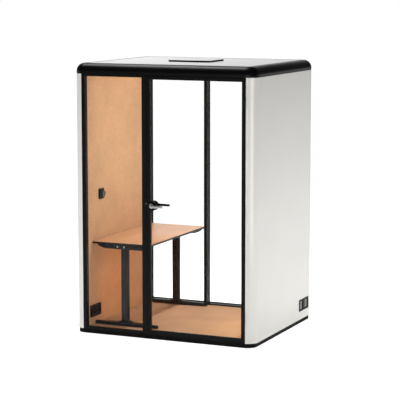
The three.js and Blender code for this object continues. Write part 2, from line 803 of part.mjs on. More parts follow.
function makeLatch() {
  const lock = lockPlaces();
  const inset = caseWall;
  const body = box(lock.caseLeft, lock.caseRight, lock.caseFront, lock.caseBack,
    lock.caseBottom, lock.caseTop);
  const hollow = box(lock.caseLeft + inset, lock.caseRight - inset, lock.caseFront + inset,
    lock.caseBack - inset, lock.caseBottom + inset, lock.caseTop - inset);
  const mouth = box(lock.caseLeft - fitGap, lock.caseLeft + inset + fitGap, lock.boltFront - fitGap,
    lock.boltBack + fitGap, lock.boltBottom - fitGap, lock.boltTop + fitGap);
  const hole = postAlongY(lock.axisX, handleHeight, spindleSide / Math.SQRT2 + fitGap,
    lock.caseFront - fitGap, lock.caseBack + fitGap, smallSteps);
  add('lock_case', cut(body, [hollow, mouth, hole]), satinSteel);

  const plan = outline([
    [lock.boltTail, lock.boltFront], [lock.boltTip, lock.boltFront],
    [lock.boltTip, lock.boltBack - boltNose], [lock.boltTip + boltNose, lock.boltBack],
    [lock.boltTail, lock.boltBack],
  ]);
  const slot = camTipRadius + camGap;
  const slotTop = handleHeight + lock.camReach + slot;
  add('latch_bolt', cut(upright(plan, lock.boltBottom, lock.boltTop), [
    box(lock.camX - slot, lock.camX + slot, lock.boltFront - fitGap, lock.boltBack + fitGap,
      lock.boltBottom - fitGap, slotTop),
  ]), satinSteel);
}

// A closed section [inset, height] carried round the rounded plan of the shell
function sweptRing(section) {
  const points = [];
  const count = 4 * (cornerSteps + 1);
  for (const [inset, height] of section) {
    const radius = Math.max(cornerRadius - inset, capCornerLeast);
    const reachX = halfWidth - inset - radius;
    const reachY = rear - inset - radius;
    for (let corner = 0; corner < 4; corner += 1) {
      const centreX = corner === 0 || corner === 3 ? reachX : -reachX;
      const centreY = corner < 2 ? reachY : -reachY;
      for (let step = 0; step <= cornerSteps; step += 1) {
        const angle = (corner + step / cornerSteps) * Math.PI / 2;
        points.push(new THREE.Vector3(
          centreX + radius * Math.cos(angle), centreY + radius * Math.sin(angle), height));
      }
    }
  }
  const triangles = [];
  section.forEach((_, j) => {
    const next = (j + 1) % section.length;
    for (let i = 0; i < count; i += 1) {
      const side = (i + 1) % count;
      triangles.push(j * count + i, j * count + side, next * count + side);
      triangles.push(j * count + i, next * count + side, next * count + i);
    }
  });
  return indexed(points, triangles);
}

function capSection() {
  const shoulder = roofBottom + capUpright;
  const round = (radius, step) => {
    const angle = step / capSteps * Math.PI / 2;
    return [capRadius - radius * Math.cos(angle), shoulder + radius * Math.sin(angle)];
  };
  const steps = Array.from({ length: capSteps + 1 }, (_, step) => step);
  return [
    [0, roofBottom],
    ...steps.map((step) => round(capRadius, step)),
    [capRadius + capLip, roofRim],
    [capRadius + capLip, roofRim - capThickness],
    ...steps.toReversed().map((step) => round(capRadius - capThickness, step)),
    [capThickness, roofBottom],
  ];
}

function insetPlan(inset) {
  const radius = Math.max(cornerRadius - inset, capCornerLeast);
  return roundedRect(inset - halfWidth, halfWidth - inset, front + inset, rear - inset, radius);
}

function makeRoof() {
  add('roof_edge', sweptRing(capSection()), blackPlastic);

  const shoulder = roofBottom + capUpright - fitGap;
  const duct = fanSize / 2 + fanCornerGap;
  const ledgeTop = roofBottom + ledgeThickness;
  const fanBore = fanSize / 2 - fanWall;
  add('roof_panel', cut(join([
    upright(insetPlan(capThickness + fitGap), roofBottom, shoulder, cornerSteps),
    upright(insetPlan(capRadius + capLip + fitGap), roofBottom, roofTop),
  ]), [
    box(-duct, duct, -duct, duct, ledgeTop, roofTop + fitGap),
    postAlongZ(0, 0, fanBore, roofBottom - fitGap, ledgeTop + fitGap),
  ]), paleRoof);

  const half = innerHalf - fitGap;
  const slots = [];
  for (let i = 0; i < grilleCount; i += 1) {
    const y = (i - (grilleCount - 1) / 2) * grillePitch;
    const reach = Math.sqrt(fanBore ** 2 - y ** 2);
    slots.push(box(-reach, reach, y - grilleSlot / 2, y + grilleSlot / 2,
      ceilingBottom - fitGap, wallTop + fitGap));
  }
  add('ceiling_panel', cut(
    box(-half, half, frontInner + fitGap, rearInner - fitGap, ceilingBottom, wallTop), slots), tanFelt);

  const lightTop = ceilingBottom - fitGap;
  const lensBottom = lightTop - lightDrop;
  const lensLeft = lightOffset - lightWidth / 2;
  const lensRight = lightOffset + lightWidth / 2;
  const lens = new THREE.Shape();
  lens.moveTo(lensLeft, lightTop);
  lens.quadraticCurveTo(lensLeft, lensBottom, lightOffset, lensBottom);
  lens.quadraticCurveTo(lensRight, lensBottom, lensRight, lightTop);
  add('light_bar', alongY(lens, -lightLength / 2, lightLength / 2, sweepSteps), milkyLens);
}

// Raised vent cover: a slotted riser ring under a thin lid
function makeVent() {
  const bottom = roofTop + fitGap;
  const top = bottom + ventRise;
  const ring = (inset) => roundedRect(inset - ventLength / 2, ventLength / 2 - inset,
    inset - ventWidth / 2, ventWidth / 2 - inset, ventCorner - inset);
  const wall = upright(ring(ventInset), bottom, top);
  const inside = upright(ring(ventInset + ventWall), bottom - fitGap, top + fitGap);
  const slots = [inside];
  const pitchSlots = (length, place) => {
    const count = Math.floor((length - 2 * ventCorner) / ventSlotPitch);
    for (let i = 0; i < count; i += 1) {
      place((i - (count - 1) / 2) * ventSlotPitch);
    }
  };
  const slotTop = top + fitGap;
  const slotLow = top - ventSlotHeight;
  pitchSlots(ventLength, (x) => slots.push(
    box(x - ventSlot / 2, x + ventSlot / 2, -ventWidth, ventWidth, slotLow, slotTop)));
  pitchSlots(ventWidth, (y) => slots.push(
    box(-ventLength, ventLength, y - ventSlot / 2, y + ventSlot / 2, slotLow, slotTop)));
  add('vent_riser', cut(wall, slots), blackPlastic);
  const lidBottom = top + fitGap;
  add('vent_cover', upright(ring(0), lidBottom, lidBottom + ventCoverThickness), paleRoof);
}

// Twisted blade: a flat section turned from its root angle to its tip angle
function fanBlade(turn, rootRadius, tipRadius, middle) {
  const stations = 5;
  const rings = [];
  for (let k = 0; k < stations; k += 1) {
    const share = k / (stations - 1);
    const radius = THREE.MathUtils.lerp(rootRadius, tipRadius, share);
    const pitch = THREE.MathUtils.degToRad(THREE.MathUtils.lerp(bladeRootAngle, bladeTipAngle, share));
    const cos = Math.cos(pitch);
    const sin = Math.sin(pitch);
    const reach = Math.sqrt(Math.max(radius ** 2 - (cos * bladeChord / 2) ** 2, 0));
    const corner = ([c, a]) => {
      const y = c * cos * bladeChord / 2 - a * sin * bladeThickness / 2;
      const z = c * sin * bladeChord / 2 + a * cos * bladeThickness / 2;
      return new THREE.Vector3(reach, y, middle + z).applyAxisAngle(upAxis, turn);
    };
    rings.push([[-1, -1], [1, -1], [1, 1], [-1, 1]].map(corner));
  }
  return loft(rings);
}

function makeFan() {
  const bottom = roofBottom + ledgeThickness + fitGap;
  const top = bottom + fanDepth;
  const half = fanSize / 2;
  const boreRadius = half - fanWall;
  const motorTop = bottom + motorHeight;
  const shell = cut(box(-half, half, -half, half, bottom, top),
    [postAlongZ(0, 0, boreRadius, bottom - fitGap, top + fitGap)]);
  const reach = boreRadius + fanWall / 2;
  const strut = (turn) => box(-reach, reach, -strutWidth / 2, strutWidth / 2, bottom, bottom + strutHeight)
    .rotateZ(turn);
  const motor = postAlongZ(0, 0, rotorHubRadius, bottom, motorTop);
  const pinHole = postAlongZ(0, 0, rotorPinRadius + rotorPinGap, motorTop - rotorPinLength,
    motorTop + fitGap, smallSteps);
  const struts = [strut(Math.PI / 4), strut(-Math.PI / 4)];
  add('fan_housing', cut(join([shell, ...struts, motor]), [pinHole]), blackPlastic);

  const hubBottom = motorTop + motorGap;
  const hubTop = hubBottom + rotorHubHeight;
  const pinBottom = hubBottom - rotorPinLength;
  const hub = turned([
    [0, pinBottom], [rotorPinRadius, pinBottom], [rotorPinRadius, hubBottom],
    [rotorHubRadius, hubBottom], [rotorHubRadius, hubTop - rotorHubEdge],
    [rotorHubRadius - rotorHubEdge, hubTop], [0, hubTop],
  ]);
  const blades = Array.from({ length: bladeCount }, (_, i) => fanBlade(
    i / bladeCount * 2 * Math.PI, rotorHubRadius - bladeThickness, boreRadius - bladeTipGap,
    (hubBottom + hubTop) / 2));
  add('fan_rotor', join([hub, ...blades]), blackPlastic);
}

// Wall control: a plate with a turning knob
function makeControl() {
  const y = frontInner + controlFromFront;
  const wall = -innerHalf + fitGap;
  const face = wall + controlThickness;
  const plate = alongX(roundedRect(y - controlWidth / 2, y + controlWidth / 2,
    controlLevel - controlHeight / 2, controlLevel + controlHeight / 2, controlCorner), wall, face);
  const toWall = (form) => form.rotateY(Math.PI / 2).translate(0, y, controlLevel);
  const holeDepth = knobPinLength + fitGap;
  add('control_plate', cut(plate, [
    toWall(postAlongZ(0, 0, knobPinRadius + knobPinGap, face - holeDepth, face + fitGap, smallSteps)),
  ]), blackPlastic);
  const base = face + fitGap;
  const rim = base + knobHeight;
  add('control_knob', toWall(turned([
    [0, face - knobPinLength], [knobPinRadius, face - knobPinLength], [knobPinRadius, base],
    [knobRadius, base], [knobRadius - knobTaper, rim - knobRim],
    [knobRadius - knobTaper - knobRim, rim], [0, rim],
  ])), greyPlastic);
}

// Double outlets: a faced block with two square wells
function makeOutlets() {
  const wells = (y, z, pitch, size, x0, x1) => [-1, 1].map((side) => {
    const centre = y + side * pitch / 2;
    return box(x0, x1, centre - size / 2, centre + size / 2, z - size / 2, z + size / 2);
  });
  const y = frontInner + outletFromFront;
  const wall = -innerHalf + fitGap;
  const face = wall + outletThickness;
  const block = alongX(roundedRect(y - outletWidth / 2, y + outletWidth / 2,
    outletLevel - outletHeight / 2, outletLevel + outletHeight / 2, outletCorner), wall, face);
  const inner = wells(y, outletLevel, outletWidth / 2, outletWell, face - outletWellDepth, face + fitGap);
  add('inner_outlet', cut(block, inner), blackPlastic);

  const serviceY = rear - serviceFromRear;
  const plane = halfWidth + fitGap;
  const outside = plane + serviceFlange;
  const reachY = serviceWidth / 2;
  const reachZ = serviceHeight / 2;
  const bodyY = reachY - serviceBodyInset;
  const bodyZ = reachZ - serviceBodyInset;
  const flange = alongX(roundedRect(serviceY - reachY, serviceY + reachY,
    serviceLevel - reachZ, serviceLevel + reachZ, serviceCorner), plane, outside);
  const body = box(halfWidth - serviceBodyDepth, plane + serviceFlange / 2,
    serviceY - bodyY, serviceY + bodyY, serviceLevel - bodyZ, serviceLevel + bodyZ);
  const outer = wells(serviceY, serviceLevel, serviceWidth / 2, serviceWell,
    outside - serviceWellDepth, outside + fitGap);
  add('service_outlet', cut(join([flange, body]), outer), blackPlastic);
}

// Desk along the left wall: a thin top on two T legs, with a beam between their arms
function makeDesk() {
  const wallEdge = -innerHalf + deskWallGap;
  const userEdge = wallEdge + deskDepth;
  const low = frontInner + deskFrontGap;
  const high = rearInner - deskRearGap;
  const topSurface = carpetTop + deskTopLevel;
  const underside = topSurface - deskTopThickness;
  const board = roundedRect(wallEdge + deskTopBevel, userEdge - deskTopBevel, low + deskTopBevel,
    high - deskTopBevel, deskCorner);
  const bevelled = new THREE.ExtrudeGeometry(board, {
    depth: deskTopThickness - 2 * deskTopBevel, bevelThickness: deskTopBevel, bevelSize: deskTopBevel,
    bevelSegments: 1, curveSegments: filletSteps / 2,
  }).translate(0, 0, underside + deskTopBevel);
  const straight = upright(roundedRect(wallEdge, userEdge, low, high, deskCorner),
    underside + deskTopBevel, topSurface);
  add('desk_top', join([bevelled, straight]), oakFace);

  const columnX = userEdge - columnSetback;
  const armTop = underside - fitGap;
  const armBottom = armTop - armDepth;
  const footBottom = carpetTop + fitGap;
  const legs = { front: low + columnInset, rear: high - columnInset };
  for (const [name, y] of Object.entries(legs)) {
    const column = upright(roundedRect(columnX - columnWidth / 2, columnX + columnWidth / 2,
      y - columnThickness / 2, y + columnThickness / 2, columnCorner),
    footBottom + footHeight + fitGap, armBottom + armDepth / 2);
    const arm = deskArm(wallEdge + armWallInset, userEdge - armUserInset, y, armTop);
    const foot = deskFoot(-innerHalf + footWallGap, userEdge + footOverhang, columnX, y, footBottom);
    add(`desk_leg_${name}`, join([column, arm]), blackCoat);
    add(`desk_foot_${name}`, foot, blackCoat);
  }
  const beamReach = armWidth / 2 + fitGap;
  const beam = roundedRect(columnX - beamWidth / 2, columnX + beamWidth / 2,
    armTop - beamHeight, armTop, beamCorner);
  add('desk_beam', alongY(beam, legs.front + beamReach, legs.rear - beamReach), blackCoat);
}

// Arm: flat on top, its lower edge swept up at both ends, with round ends seen from above
function deskArm(left, right, y, top) {
  const bottom = top - armDepth;
  const tip = top - armTipDepth;
  const side = new THREE.Shape();
  side.moveTo(left, top);
  side.lineTo(left, tip);
  side.quadraticCurveTo(left + armShoulder, bottom, left + armSweep, bottom);
  side.lineTo(right - armSweep, bottom);
  side.quadraticCurveTo(right - armShoulder, bottom, right, tip);
  side.lineTo(right, top);
  const plan = roundedRect(left, right, y - armWidth / 2, y + armWidth / 2, armCorner);
  const seenFromSide = alongY(side, y - armWidth, y + armWidth, sweepSteps);
  return common(seenFromSide, upright(plan, bottom - fitGap, top));
}

// Foot: low at its tips and higher under the column, and wider in the middle seen from above
function deskFoot(left, right, middle, y, bottom) {
  const tip = bottom + footTipHeight;
  const top = bottom + footHeight;
  const side = new THREE.Shape();
  side.moveTo(left, bottom);
  side.lineTo(right, bottom);
  side.lineTo(right, tip);
  side.quadraticCurveTo((right + middle) / 2, top, middle + footFlat, top);
  side.lineTo(middle - footFlat, top);
  side.quadraticCurveTo((left + middle) / 2, top, left, tip);
  const half = footWidth / 2;
  const leftTip = left + footTipRadius;
  const rightTip = right - footTipRadius;
  const plan = new THREE.Shape();
  plan.absarc(rightTip, y, footTipRadius, -Math.PI / 2, Math.PI / 2);
  plan.quadraticCurveTo((rightTip + middle) / 2, y + half, middle, y + half);
  plan.quadraticCurveTo((leftTip + middle) / 2, y + half, leftTip, y + footTipRadius);
  plan.absarc(leftTip, y, footTipRadius, Math.PI / 2, 1.5 * Math.PI);
  plan.quadraticCurveTo((leftTip + middle) / 2, y - half, middle, y - half);
  plan.quadraticCurveTo((rightTip + middle) / 2, y - half, rightTip, y - footTipRadius);
  const seenFromSide = alongY(side, y - footWidth, y + footWidth, sweepSteps);
  return common(seenFromSide, upright(plan, bottom, top, sweepSteps));
}

makeBase();
makeSideWalls();
makeFrontFrame();
makeRearFrame();
makeDoor();
makeHinges();
makeHandle();
makeLatch();
makeRoof();
makeVent();
makeFan();
makeControl();
makeOutlets();
makeDesk();

export default pod;
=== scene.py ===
"""Looks and stage of an acoustic office pod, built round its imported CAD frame.

Metres, +Z up. The door faces -Y. Every surface is worked out as whole arrays: a grid of two
parameters, or a section carried along a path.
"""

import json
import math

import bmesh
import bpy
import numpy as np
from bpy.props import FloatProperty, FloatVectorProperty, IntProperty, PointerProperty
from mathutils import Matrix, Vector

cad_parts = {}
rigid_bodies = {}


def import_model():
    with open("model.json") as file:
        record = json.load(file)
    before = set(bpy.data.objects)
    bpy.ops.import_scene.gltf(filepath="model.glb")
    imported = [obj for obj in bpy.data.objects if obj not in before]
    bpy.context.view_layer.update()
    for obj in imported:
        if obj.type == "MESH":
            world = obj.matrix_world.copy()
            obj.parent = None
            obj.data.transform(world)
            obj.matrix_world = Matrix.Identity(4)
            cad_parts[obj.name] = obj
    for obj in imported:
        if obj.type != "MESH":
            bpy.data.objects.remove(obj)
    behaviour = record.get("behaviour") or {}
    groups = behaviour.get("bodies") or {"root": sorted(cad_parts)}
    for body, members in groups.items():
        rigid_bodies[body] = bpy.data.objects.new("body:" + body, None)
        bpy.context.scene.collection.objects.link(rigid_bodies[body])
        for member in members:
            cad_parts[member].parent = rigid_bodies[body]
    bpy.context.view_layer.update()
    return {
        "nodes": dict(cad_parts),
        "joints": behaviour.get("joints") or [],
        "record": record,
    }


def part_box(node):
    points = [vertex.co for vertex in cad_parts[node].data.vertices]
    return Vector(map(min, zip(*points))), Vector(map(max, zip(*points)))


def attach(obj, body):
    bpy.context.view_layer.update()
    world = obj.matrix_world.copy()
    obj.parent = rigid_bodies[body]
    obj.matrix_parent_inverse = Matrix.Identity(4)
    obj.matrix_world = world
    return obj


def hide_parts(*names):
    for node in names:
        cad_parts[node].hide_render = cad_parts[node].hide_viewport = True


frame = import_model()

# Outer corner radius of the shell's plan, and the distance at which points count as one
SHELL_BEND = 0.09
MERGE = 1e-6

bl_info = {
    "name": "Acoustic office pod",
    "version": (1, 0, 0),
    "blender": (4, 5, 0),
    "location": "3D View > Sidebar > Pod",
    "description": "Builds the looks of a glazed acoustic office pod round its CAD frame",
    "category": "Object",
}


def coat(red, green, blue):
    """Screen colour from 0 to 255 as the linear colour that the shaders use."""
    value = np.array([red, green, blue]) / 255.0
    linear = np.where(value <= 0.04045, value / 12.92, ((value + 0.055) / 1.055) ** 2.4)
    return tuple(float(v) for v in linear)


def span(node):
    """Lowest and highest corner of a CAD node as arrays."""
    low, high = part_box(node)
    return np.array(low), np.array(high)


def joint_place(name):
    """Point on the axis of one of the frame's joints."""
    return next(joint["pos_m"] for joint in frame["joints"] if joint["name"] == name)


def quarter(steps):
    """Angles over a quarter turn, both ends included."""
    return np.linspace(0.0, np.pi / 2, steps)


def full_turn(steps):
    """Angles once round, without the last one, which is the first again."""
    return np.linspace(0.0, 2.0 * np.pi, steps, endpoint=False)


# Settings


def colour(name, words, value):
    """Setting for a colour."""
    return FloatVectorProperty(name=name, description=words, subtype="COLOR", size=3, min=0.0, max=1.0,
                               default=value)


def length(name, words, value):
    """Setting for a length in metres."""
    return FloatProperty(name=name, description=words, subtype="DISTANCE", unit="LENGTH", min=0.0,
                         precision=4, default=value)


def count(name, words, least, value):
    """Setting for a number of like things."""
    return IntProperty(name=name, description=words, min=least, default=value)


def bearing(name, words, degrees):
    """Setting for an angle, given in degrees."""
    return FloatProperty(name=name, description=words, subtype="ANGLE", default=math.radians(degrees))


def watts(name, words, value):
    """Setting for the power of a lamp."""
    return FloatProperty(name=name, description=words, subtype="POWER", unit="POWER", min=0.0, default=value)


class PodFinishes(bpy.types.PropertyGroup):
    """Colours of the pod's surfaces."""
    shell: colour("Shell", "Powder coat of the side walls", coat(236, 234, 229))
    frames: colour("Frames", "Powder coat of the frames and the desk legs", coat(8, 8, 8))
    moulding: colour("Moulding", "Moulded roof edge", coat(5, 5, 5))
    roof: colour("Roof", "Roof panel and vent cover", coat(242, 242, 242))
    felt: colour("Felt", "Felt face of the wall lining", coat(219, 179, 139))
    carpet: colour("Carpet", "Carpet on the pod's floor", coat(230, 185, 149))
    oak: colour("Oak", "Face of the desk top", coat(226, 178, 136))
    steel: colour("Steel", "Satin lever and small metal pieces", coat(226, 227, 227))


class PodFittings(bpy.types.PropertyGroup):
    """Sizes of the pieces that are added to the frame."""
    gasket_width: length("Gasket width", "Width of the rubber line round each pane", 0.0026)
    lever_thickness: length("Lever thickness", "Thickness of the levers' grips", 0.010)
    screw_radius: length("Screw radius", "Radius of the screws in the desk arms", 0.0072)
    screw_spacing: length("Screw spacing", "Distance between the two screws of an arm", 0.058)
    knob_ridges: count("Knob ridges", "Ridges round the control knob", 8, 44)
    scale_marks: count("Scale marks", "Marks round the control knob", 2, 11)


class PodStage(bpy.types.PropertyGroup):
    """Camera and light."""
    azimuth: bearing("Azimuth", "Turn of the view from the front", 23.833)
    elevation: bearing("Elevation", "Height of the view above the horizon", 7.799)
    distance: length("Distance", "From the camera to its aim", 13.5555)
    aim: FloatVectorProperty(name="Aim", description="Point in the middle of the picture", subtype="XYZ",
                             unit="LENGTH", default=(0.02976, 0.01193, 1.0634))
    lens: FloatProperty(name="Lens", description="Focal length on a 36 mm sensor, in millimetres", min=1.0,
                        default=145.13)
    ambient: FloatProperty(name="Ambient", description="Strength of the even light", min=0.0, default=0.31)
    key: watts("Key", "Soft light from the front right", 76.0)
    top: watts("Top", "Soft light from above", 89.0)
    bounce: watts("Bounce", "Low light on the right wall", 28.0)
    rim: watts("Rim", "Upright strip of gloss on the right front corner", 150.0)
    fill: watts("Fill", "Low light from the front left", 32.0)
    lamp: watts("Ceiling lamp", "Light of the pod's own ceiling lamp", 14.6)
    glow: watts("Glow", "Warm low light inside the pod", 1.7)
    rear: watts("Rear", "Soft light through the rear panes", 22.0)
    side: watts("Side", "Soft light on the left wall from behind", 15.0)
    carpet: watts("Carpet", "Light that the carpet throws back on the left wall", 1.5)
    cove: watts("Cove", "Light that the ceiling throws on the top of the left wall", 0.8)


# Meshes


def grid(rows, columns, wrap_rows=False, wrap_columns=False):
    """Four-sided faces of a grid of points that is numbered row by row; a wrapped way closes on itself."""
    i = np.arange(rows if wrap_rows else rows - 1)[:, None]
    j = np.arange(columns if wrap_columns else columns - 1)[None, :]
    corners = (
        i * columns + j,
        i * columns + (j + 1) % columns,
        (i + 1) % rows * columns + (j + 1) % columns,
        (i + 1) % rows * columns + j,
    )
    return np.stack(np.broadcast_arrays(*corners), axis=-1).reshape(-1, 4)


def tube(points, ends=True):
    """Grid of closed rings, rows one after the other, with a flat face over each end."""
    rows, columns = points.shape[:2]
    faces = grid(rows, columns, wrap_columns=True).tolist()
    if ends:
        ring = np.arange(columns)
        faces.append(ring[::-1].tolist())
        faces.append((ring + (rows - 1) * columns).tolist())
    return points.reshape(-1, 3), faces


def hoop(points):
    """Grid of points that closes on itself both ways."""
    rows, columns = points.shape[:2]
    return points.reshape(-1, 3), grid(rows, columns, True, True).tolist()


def together(*solids):
    """Several sets of points and faces as one set, with the faces' numbers moved on."""
    points, faces, count = [], [], 0
    for part_points, part_faces in solids:
        points.append(part_points)
        faces.extend([[index + count for index in face] for face in part_faces])
        count += len(part_points)
    return np.concatenate(points), faces


def put(name, solid, body, slot, finishes=None, crease=35.0, paint=None):
    """Makes a piece from points and faces: doubles merged, faces outwards, smooth below a crease angle.
    Its finish is that of its slot, unless others are named."""
    points, faces = solid
    mesh = bpy.data.meshes.new(name)
    mesh.from_pydata(np.asarray(points, dtype=float).tolist(), [], faces)
    if paint is not None:
        mesh.polygons.foreach_set("material_index", np.asarray(paint, dtype=np.int32))
    shape = bmesh.new()
    shape.from_mesh(mesh)
    bmesh.ops.remove_doubles(shape, verts=shape.verts, dist=MERGE)
    bmesh.ops.recalc_face_normals(shape, faces=shape.faces)
    shape.to_mesh(mesh)
    shape.free()
    mesh.shade_smooth()
    mesh.set_sharp_from_angle(angle=math.radians(crease))
    for label in finishes or [slot]:
        mesh.materials.append(MATERIALS[label])
    piece = bpy.data.objects.new(name, mesh)
    bpy.context.scene.collection.objects.link(piece)
    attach(piece, body)
    return piece


def rounded_rings(insets, heights, half, radius, least, steps, centre=(0.0, 0.0)):
    """Rounded rectangles, one for each inset. The corner's centre stands off from both sides by the
    corner radius, which shrinks with the inset, and the corner turns through a quarter circle."""
    inset = np.asarray(insets, dtype=float)[:, None]
    bend = np.maximum(radius - inset, least)
    turn = (np.arange(4)[:, None] * np.pi / 2 + quarter(steps + 1)).ravel()[None, :]
    side_x = np.repeat([1.0, -1.0, -1.0, 1.0], steps + 1)[None, :]
    side_y = np.repeat([1.0, 1.0, -1.0, -1.0], steps + 1)[None, :]
    x = centre[0] + side_x * (half[0] - inset - bend) + bend * np.cos(turn)
    y = centre[1] + side_y * (half[1] - inset - bend) + bend * np.sin(turn)
    z = np.broadcast_to(np.asarray(heights, dtype=float)[:, None], x.shape)
    return np.stack([x, y, z], axis=-1)


def lay(points, order):
    """Points with their axes put in another order, such as a ring in X and Y stood up in X and Z."""
    return points[..., list(order)]


def turned(radii, heights, origin, axis, steps=40, ripple=0.0):
    """Profile turned round an axis: radius and height by row, angle by column. ripple may add to the
    radius by row and angle."""
    axis = Vector(axis).normalized()
    side = axis.orthogonal().normalized()
    other = axis.cross(side)
    angle = full_turn(steps)[None, :]
    radius = np.asarray(radii, dtype=float)[:, None] + ripple * np.ones_like(angle)
    height = np.asarray(heights, dtype=float)[:, None]
    return (np.array(origin) + height[..., None] * np.array(axis)
            + (radius * np.cos(angle))[..., None] * np.array(side)
            + (radius * np.sin(angle))[..., None] * np.array(other))


def slab(insets, heights, half, radius, centre, steps=10):
    """Board with rounded corners: its edge section [inset, height] from the lower face to the upper."""
    least_bend = 0.0004
    return tube(rounded_rings(insets, heights, half, radius, least_bend, steps, centre))


def thick_sheet(outer, inner, keep):
    """Closed sheet between two grids of points: the outer faces, the inner faces turned round, and a
    strip along every edge where a kept face meets none."""
    rows, columns = outer.shape[:2]
    count = rows * columns
    index = np.arange(count).reshape(rows, columns)
    corners = (index[:-1, :-1], index[:-1, 1:], index[1:, 1:], index[1:, :-1])
    quads = np.stack(corners, axis=-1)[keep]
    faces = [quads, quads[:, ::-1] + count]
    around = np.pad(keep, 1)
    for side, (down, right) in enumerate(((-1, 0), (0, 1), (1, 0), (0, -1))):
        beside = around[1 + down:rows + down, 1 + right:columns + right]
        edge = keep & ~beside
        start, end = corners[side][edge], corners[(side + 1) % 4][edge]
        faces.append(np.stack([end, start, start + count, end + count], axis=-1))
    points = np.concatenate([outer.reshape(-1, 3), inner.reshape(-1, 3)])
    return points, np.concatenate(faces).tolist()


def squared_oval(steps, power):
    """Unit oval: cosine and sine of the angle, with their sign, raised to a power. One is a circle, and
    smaller powers square it."""
    angle = full_turn(steps)[None, :]
    across = np.sign(np.cos(angle)) * np.abs(np.cos(angle)) ** power
    up = np.sign(np.sin(angle)) * np.abs(np.sin(angle)) ** power
    return across, up


def oval_bar(x, half_width, top, bottom, middle, power=0.45, steps=36):
    """Bar along X: at each x its section is a squared oval between bottom(x) and top(x)."""
    across, up = squared_oval(steps, power)
    y = middle + half_width[:, None] * across
    z = (top + bottom)[:, None] / 2 + (top - bottom)[:, None] / 2 * up
    return np.stack([np.broadcast_to(x[:, None], y.shape), y, z], axis=-1)


def smooth_step(value):
    """Runs from 0 to 1 with level ends: three times the square less twice the cube."""
    value = np.clip(value, 0.0, 1.0)
    return value * value * (3.0 - 2.0 * value)


# Materials


# Places of the sockets of a Mix node: its two values, its two colours, and the colour that it puts out
MIX_VALUES = (2, 3)
MIX_COLOURS = (6, 7)
MIX_COLOUR_OUT = 2
MATERIALS = {}


def link(tree, source, target):
    """Joins one socket to another."""
    tree.links.new(source, target)


def feed(tree, value, socket):
    """Gives an input a number, or joins a socket to it."""
    if hasattr(value, "default_value"):
        link(tree, value, socket)
    else:
        socket.default_value = value


def pattern(name, inputs):
    """Empty pattern group with Vector and further values in, and Tone, Gloss and Height out."""
    tree = bpy.data.node_groups.new(name, "ShaderNodeTree")
    tree.interface.new_socket("Vector", in_out="INPUT", socket_type="NodeSocketVector")
    for label, value in inputs.items():
        socket = tree.interface.new_socket(label, in_out="INPUT", socket_type="NodeSocketFloat")
        socket.default_value = value
    for label in ("Tone", "Gloss", "Height"):
        tree.interface.new_socket(label, in_out="OUTPUT", socket_type="NodeSocketFloat")
    return tree, tree.nodes.new("NodeGroupInput"), tree.nodes.new("NodeGroupOutput")


def hand_out(tree, outlet, tone, gloss, height):
    """Joins a pattern's three results to its outputs, and gives the pattern back."""
    for label, value in (("Tone", tone), ("Gloss", gloss), ("Height", height)):
        link(tree, value, outlet.inputs[label])
    return tree


def noise(tree, vector, scale, detail=3.0, roughness=0.5, distortion=0.0):
    """Noise texture; scale is a number or a socket."""
    node = tree.nodes.new("ShaderNodeTexNoise")
    node.inputs["Detail"].default_value = detail
    node.inputs["Roughness"].default_value = roughness
    node.inputs["Distortion"].default_value = distortion
    link(tree, vector, node.inputs["Vector"])
    feed(tree, scale, node.inputs["Scale"])
    return node.outputs["Fac"]


def sums(tree, operation, first, second):
    """Math node on two sockets or numbers."""
    node = tree.nodes.new("ShaderNodeMath")
    node.operation = operation
    feed(tree, first, node.inputs[0])
    feed(tree, second, node.inputs[1])
    return node.outputs[0]


def weighed(tree, *pairs):
    """Sum of values, each times its share."""
    parts = [sums(tree, "MULTIPLY", value, share) for value, share in pairs]
    total = parts[0]
    for part in parts[1:]:
        total = sums(tree, "ADD", total, part)
    return total


def fit(tree, value, low, high, new_low=0.0, new_high=1.0):
    """Range of a value carried to another range, clamped."""
    node = tree.nodes.new("ShaderNodeMapRange")
    link(tree, value, node.inputs["Value"])
    for label, number in zip(("From Min", "From Max", "To Min", "To Max"), (low, high, new_low, new_high)):
        node.inputs[label].default_value = number
    return node.outputs["Result"]


def blend(tree, share, first, second):
    """Value that runs from the first to the second by a share; both are sockets or numbers."""
    node = tree.nodes.new("ShaderNodeMix")
    link(tree, share, node.inputs[0])
    for number, value in zip(MIX_VALUES, (first, second)):
        feed(tree, value, node.inputs[number])
    return node.outputs[0]


def looked(tree, rays):
    """One for rays that show a surface: seen directly, through glass or in a reflection."""
    seen = sums(tree, "MAXIMUM", rays.outputs["Is Camera Ray"], rays.outputs["Is Transmission Ray"])
    return sums(tree, "MAXIMUM", seen, rays.outputs["Is Glossy Ray"])


def mirrors(tree, rays):
    """One for rays that have been reflected on their way."""
    return sums(tree, "MINIMUM", rays.outputs["Glossy Depth"], 1.0)


def along_view(tree, vector, stage):
    """How far a point or a direction lies along the level line from the camera through the pod."""
    node = tree.nodes.new("ShaderNodeVectorMath")
    node.operation = "DOT_PRODUCT"
    link(tree, vector, node.inputs[0])
    node.inputs[1].default_value = (-math.sin(stage.azimuth), math.cos(stage.azimuth), 0.0)
    return node.outputs["Value"]


def stretched(tree, vector, scale, turn=(0.0, 0.0, 0.0)):
    """Vector turned and scaled by a Mapping node."""
    node = tree.nodes.new("ShaderNodeMapping")
    node.inputs["Scale"].default_value = scale
    node.inputs["Rotation"].default_value = turn
    link(tree, vector, node.inputs["Vector"])
    return node.outputs["Vector"]


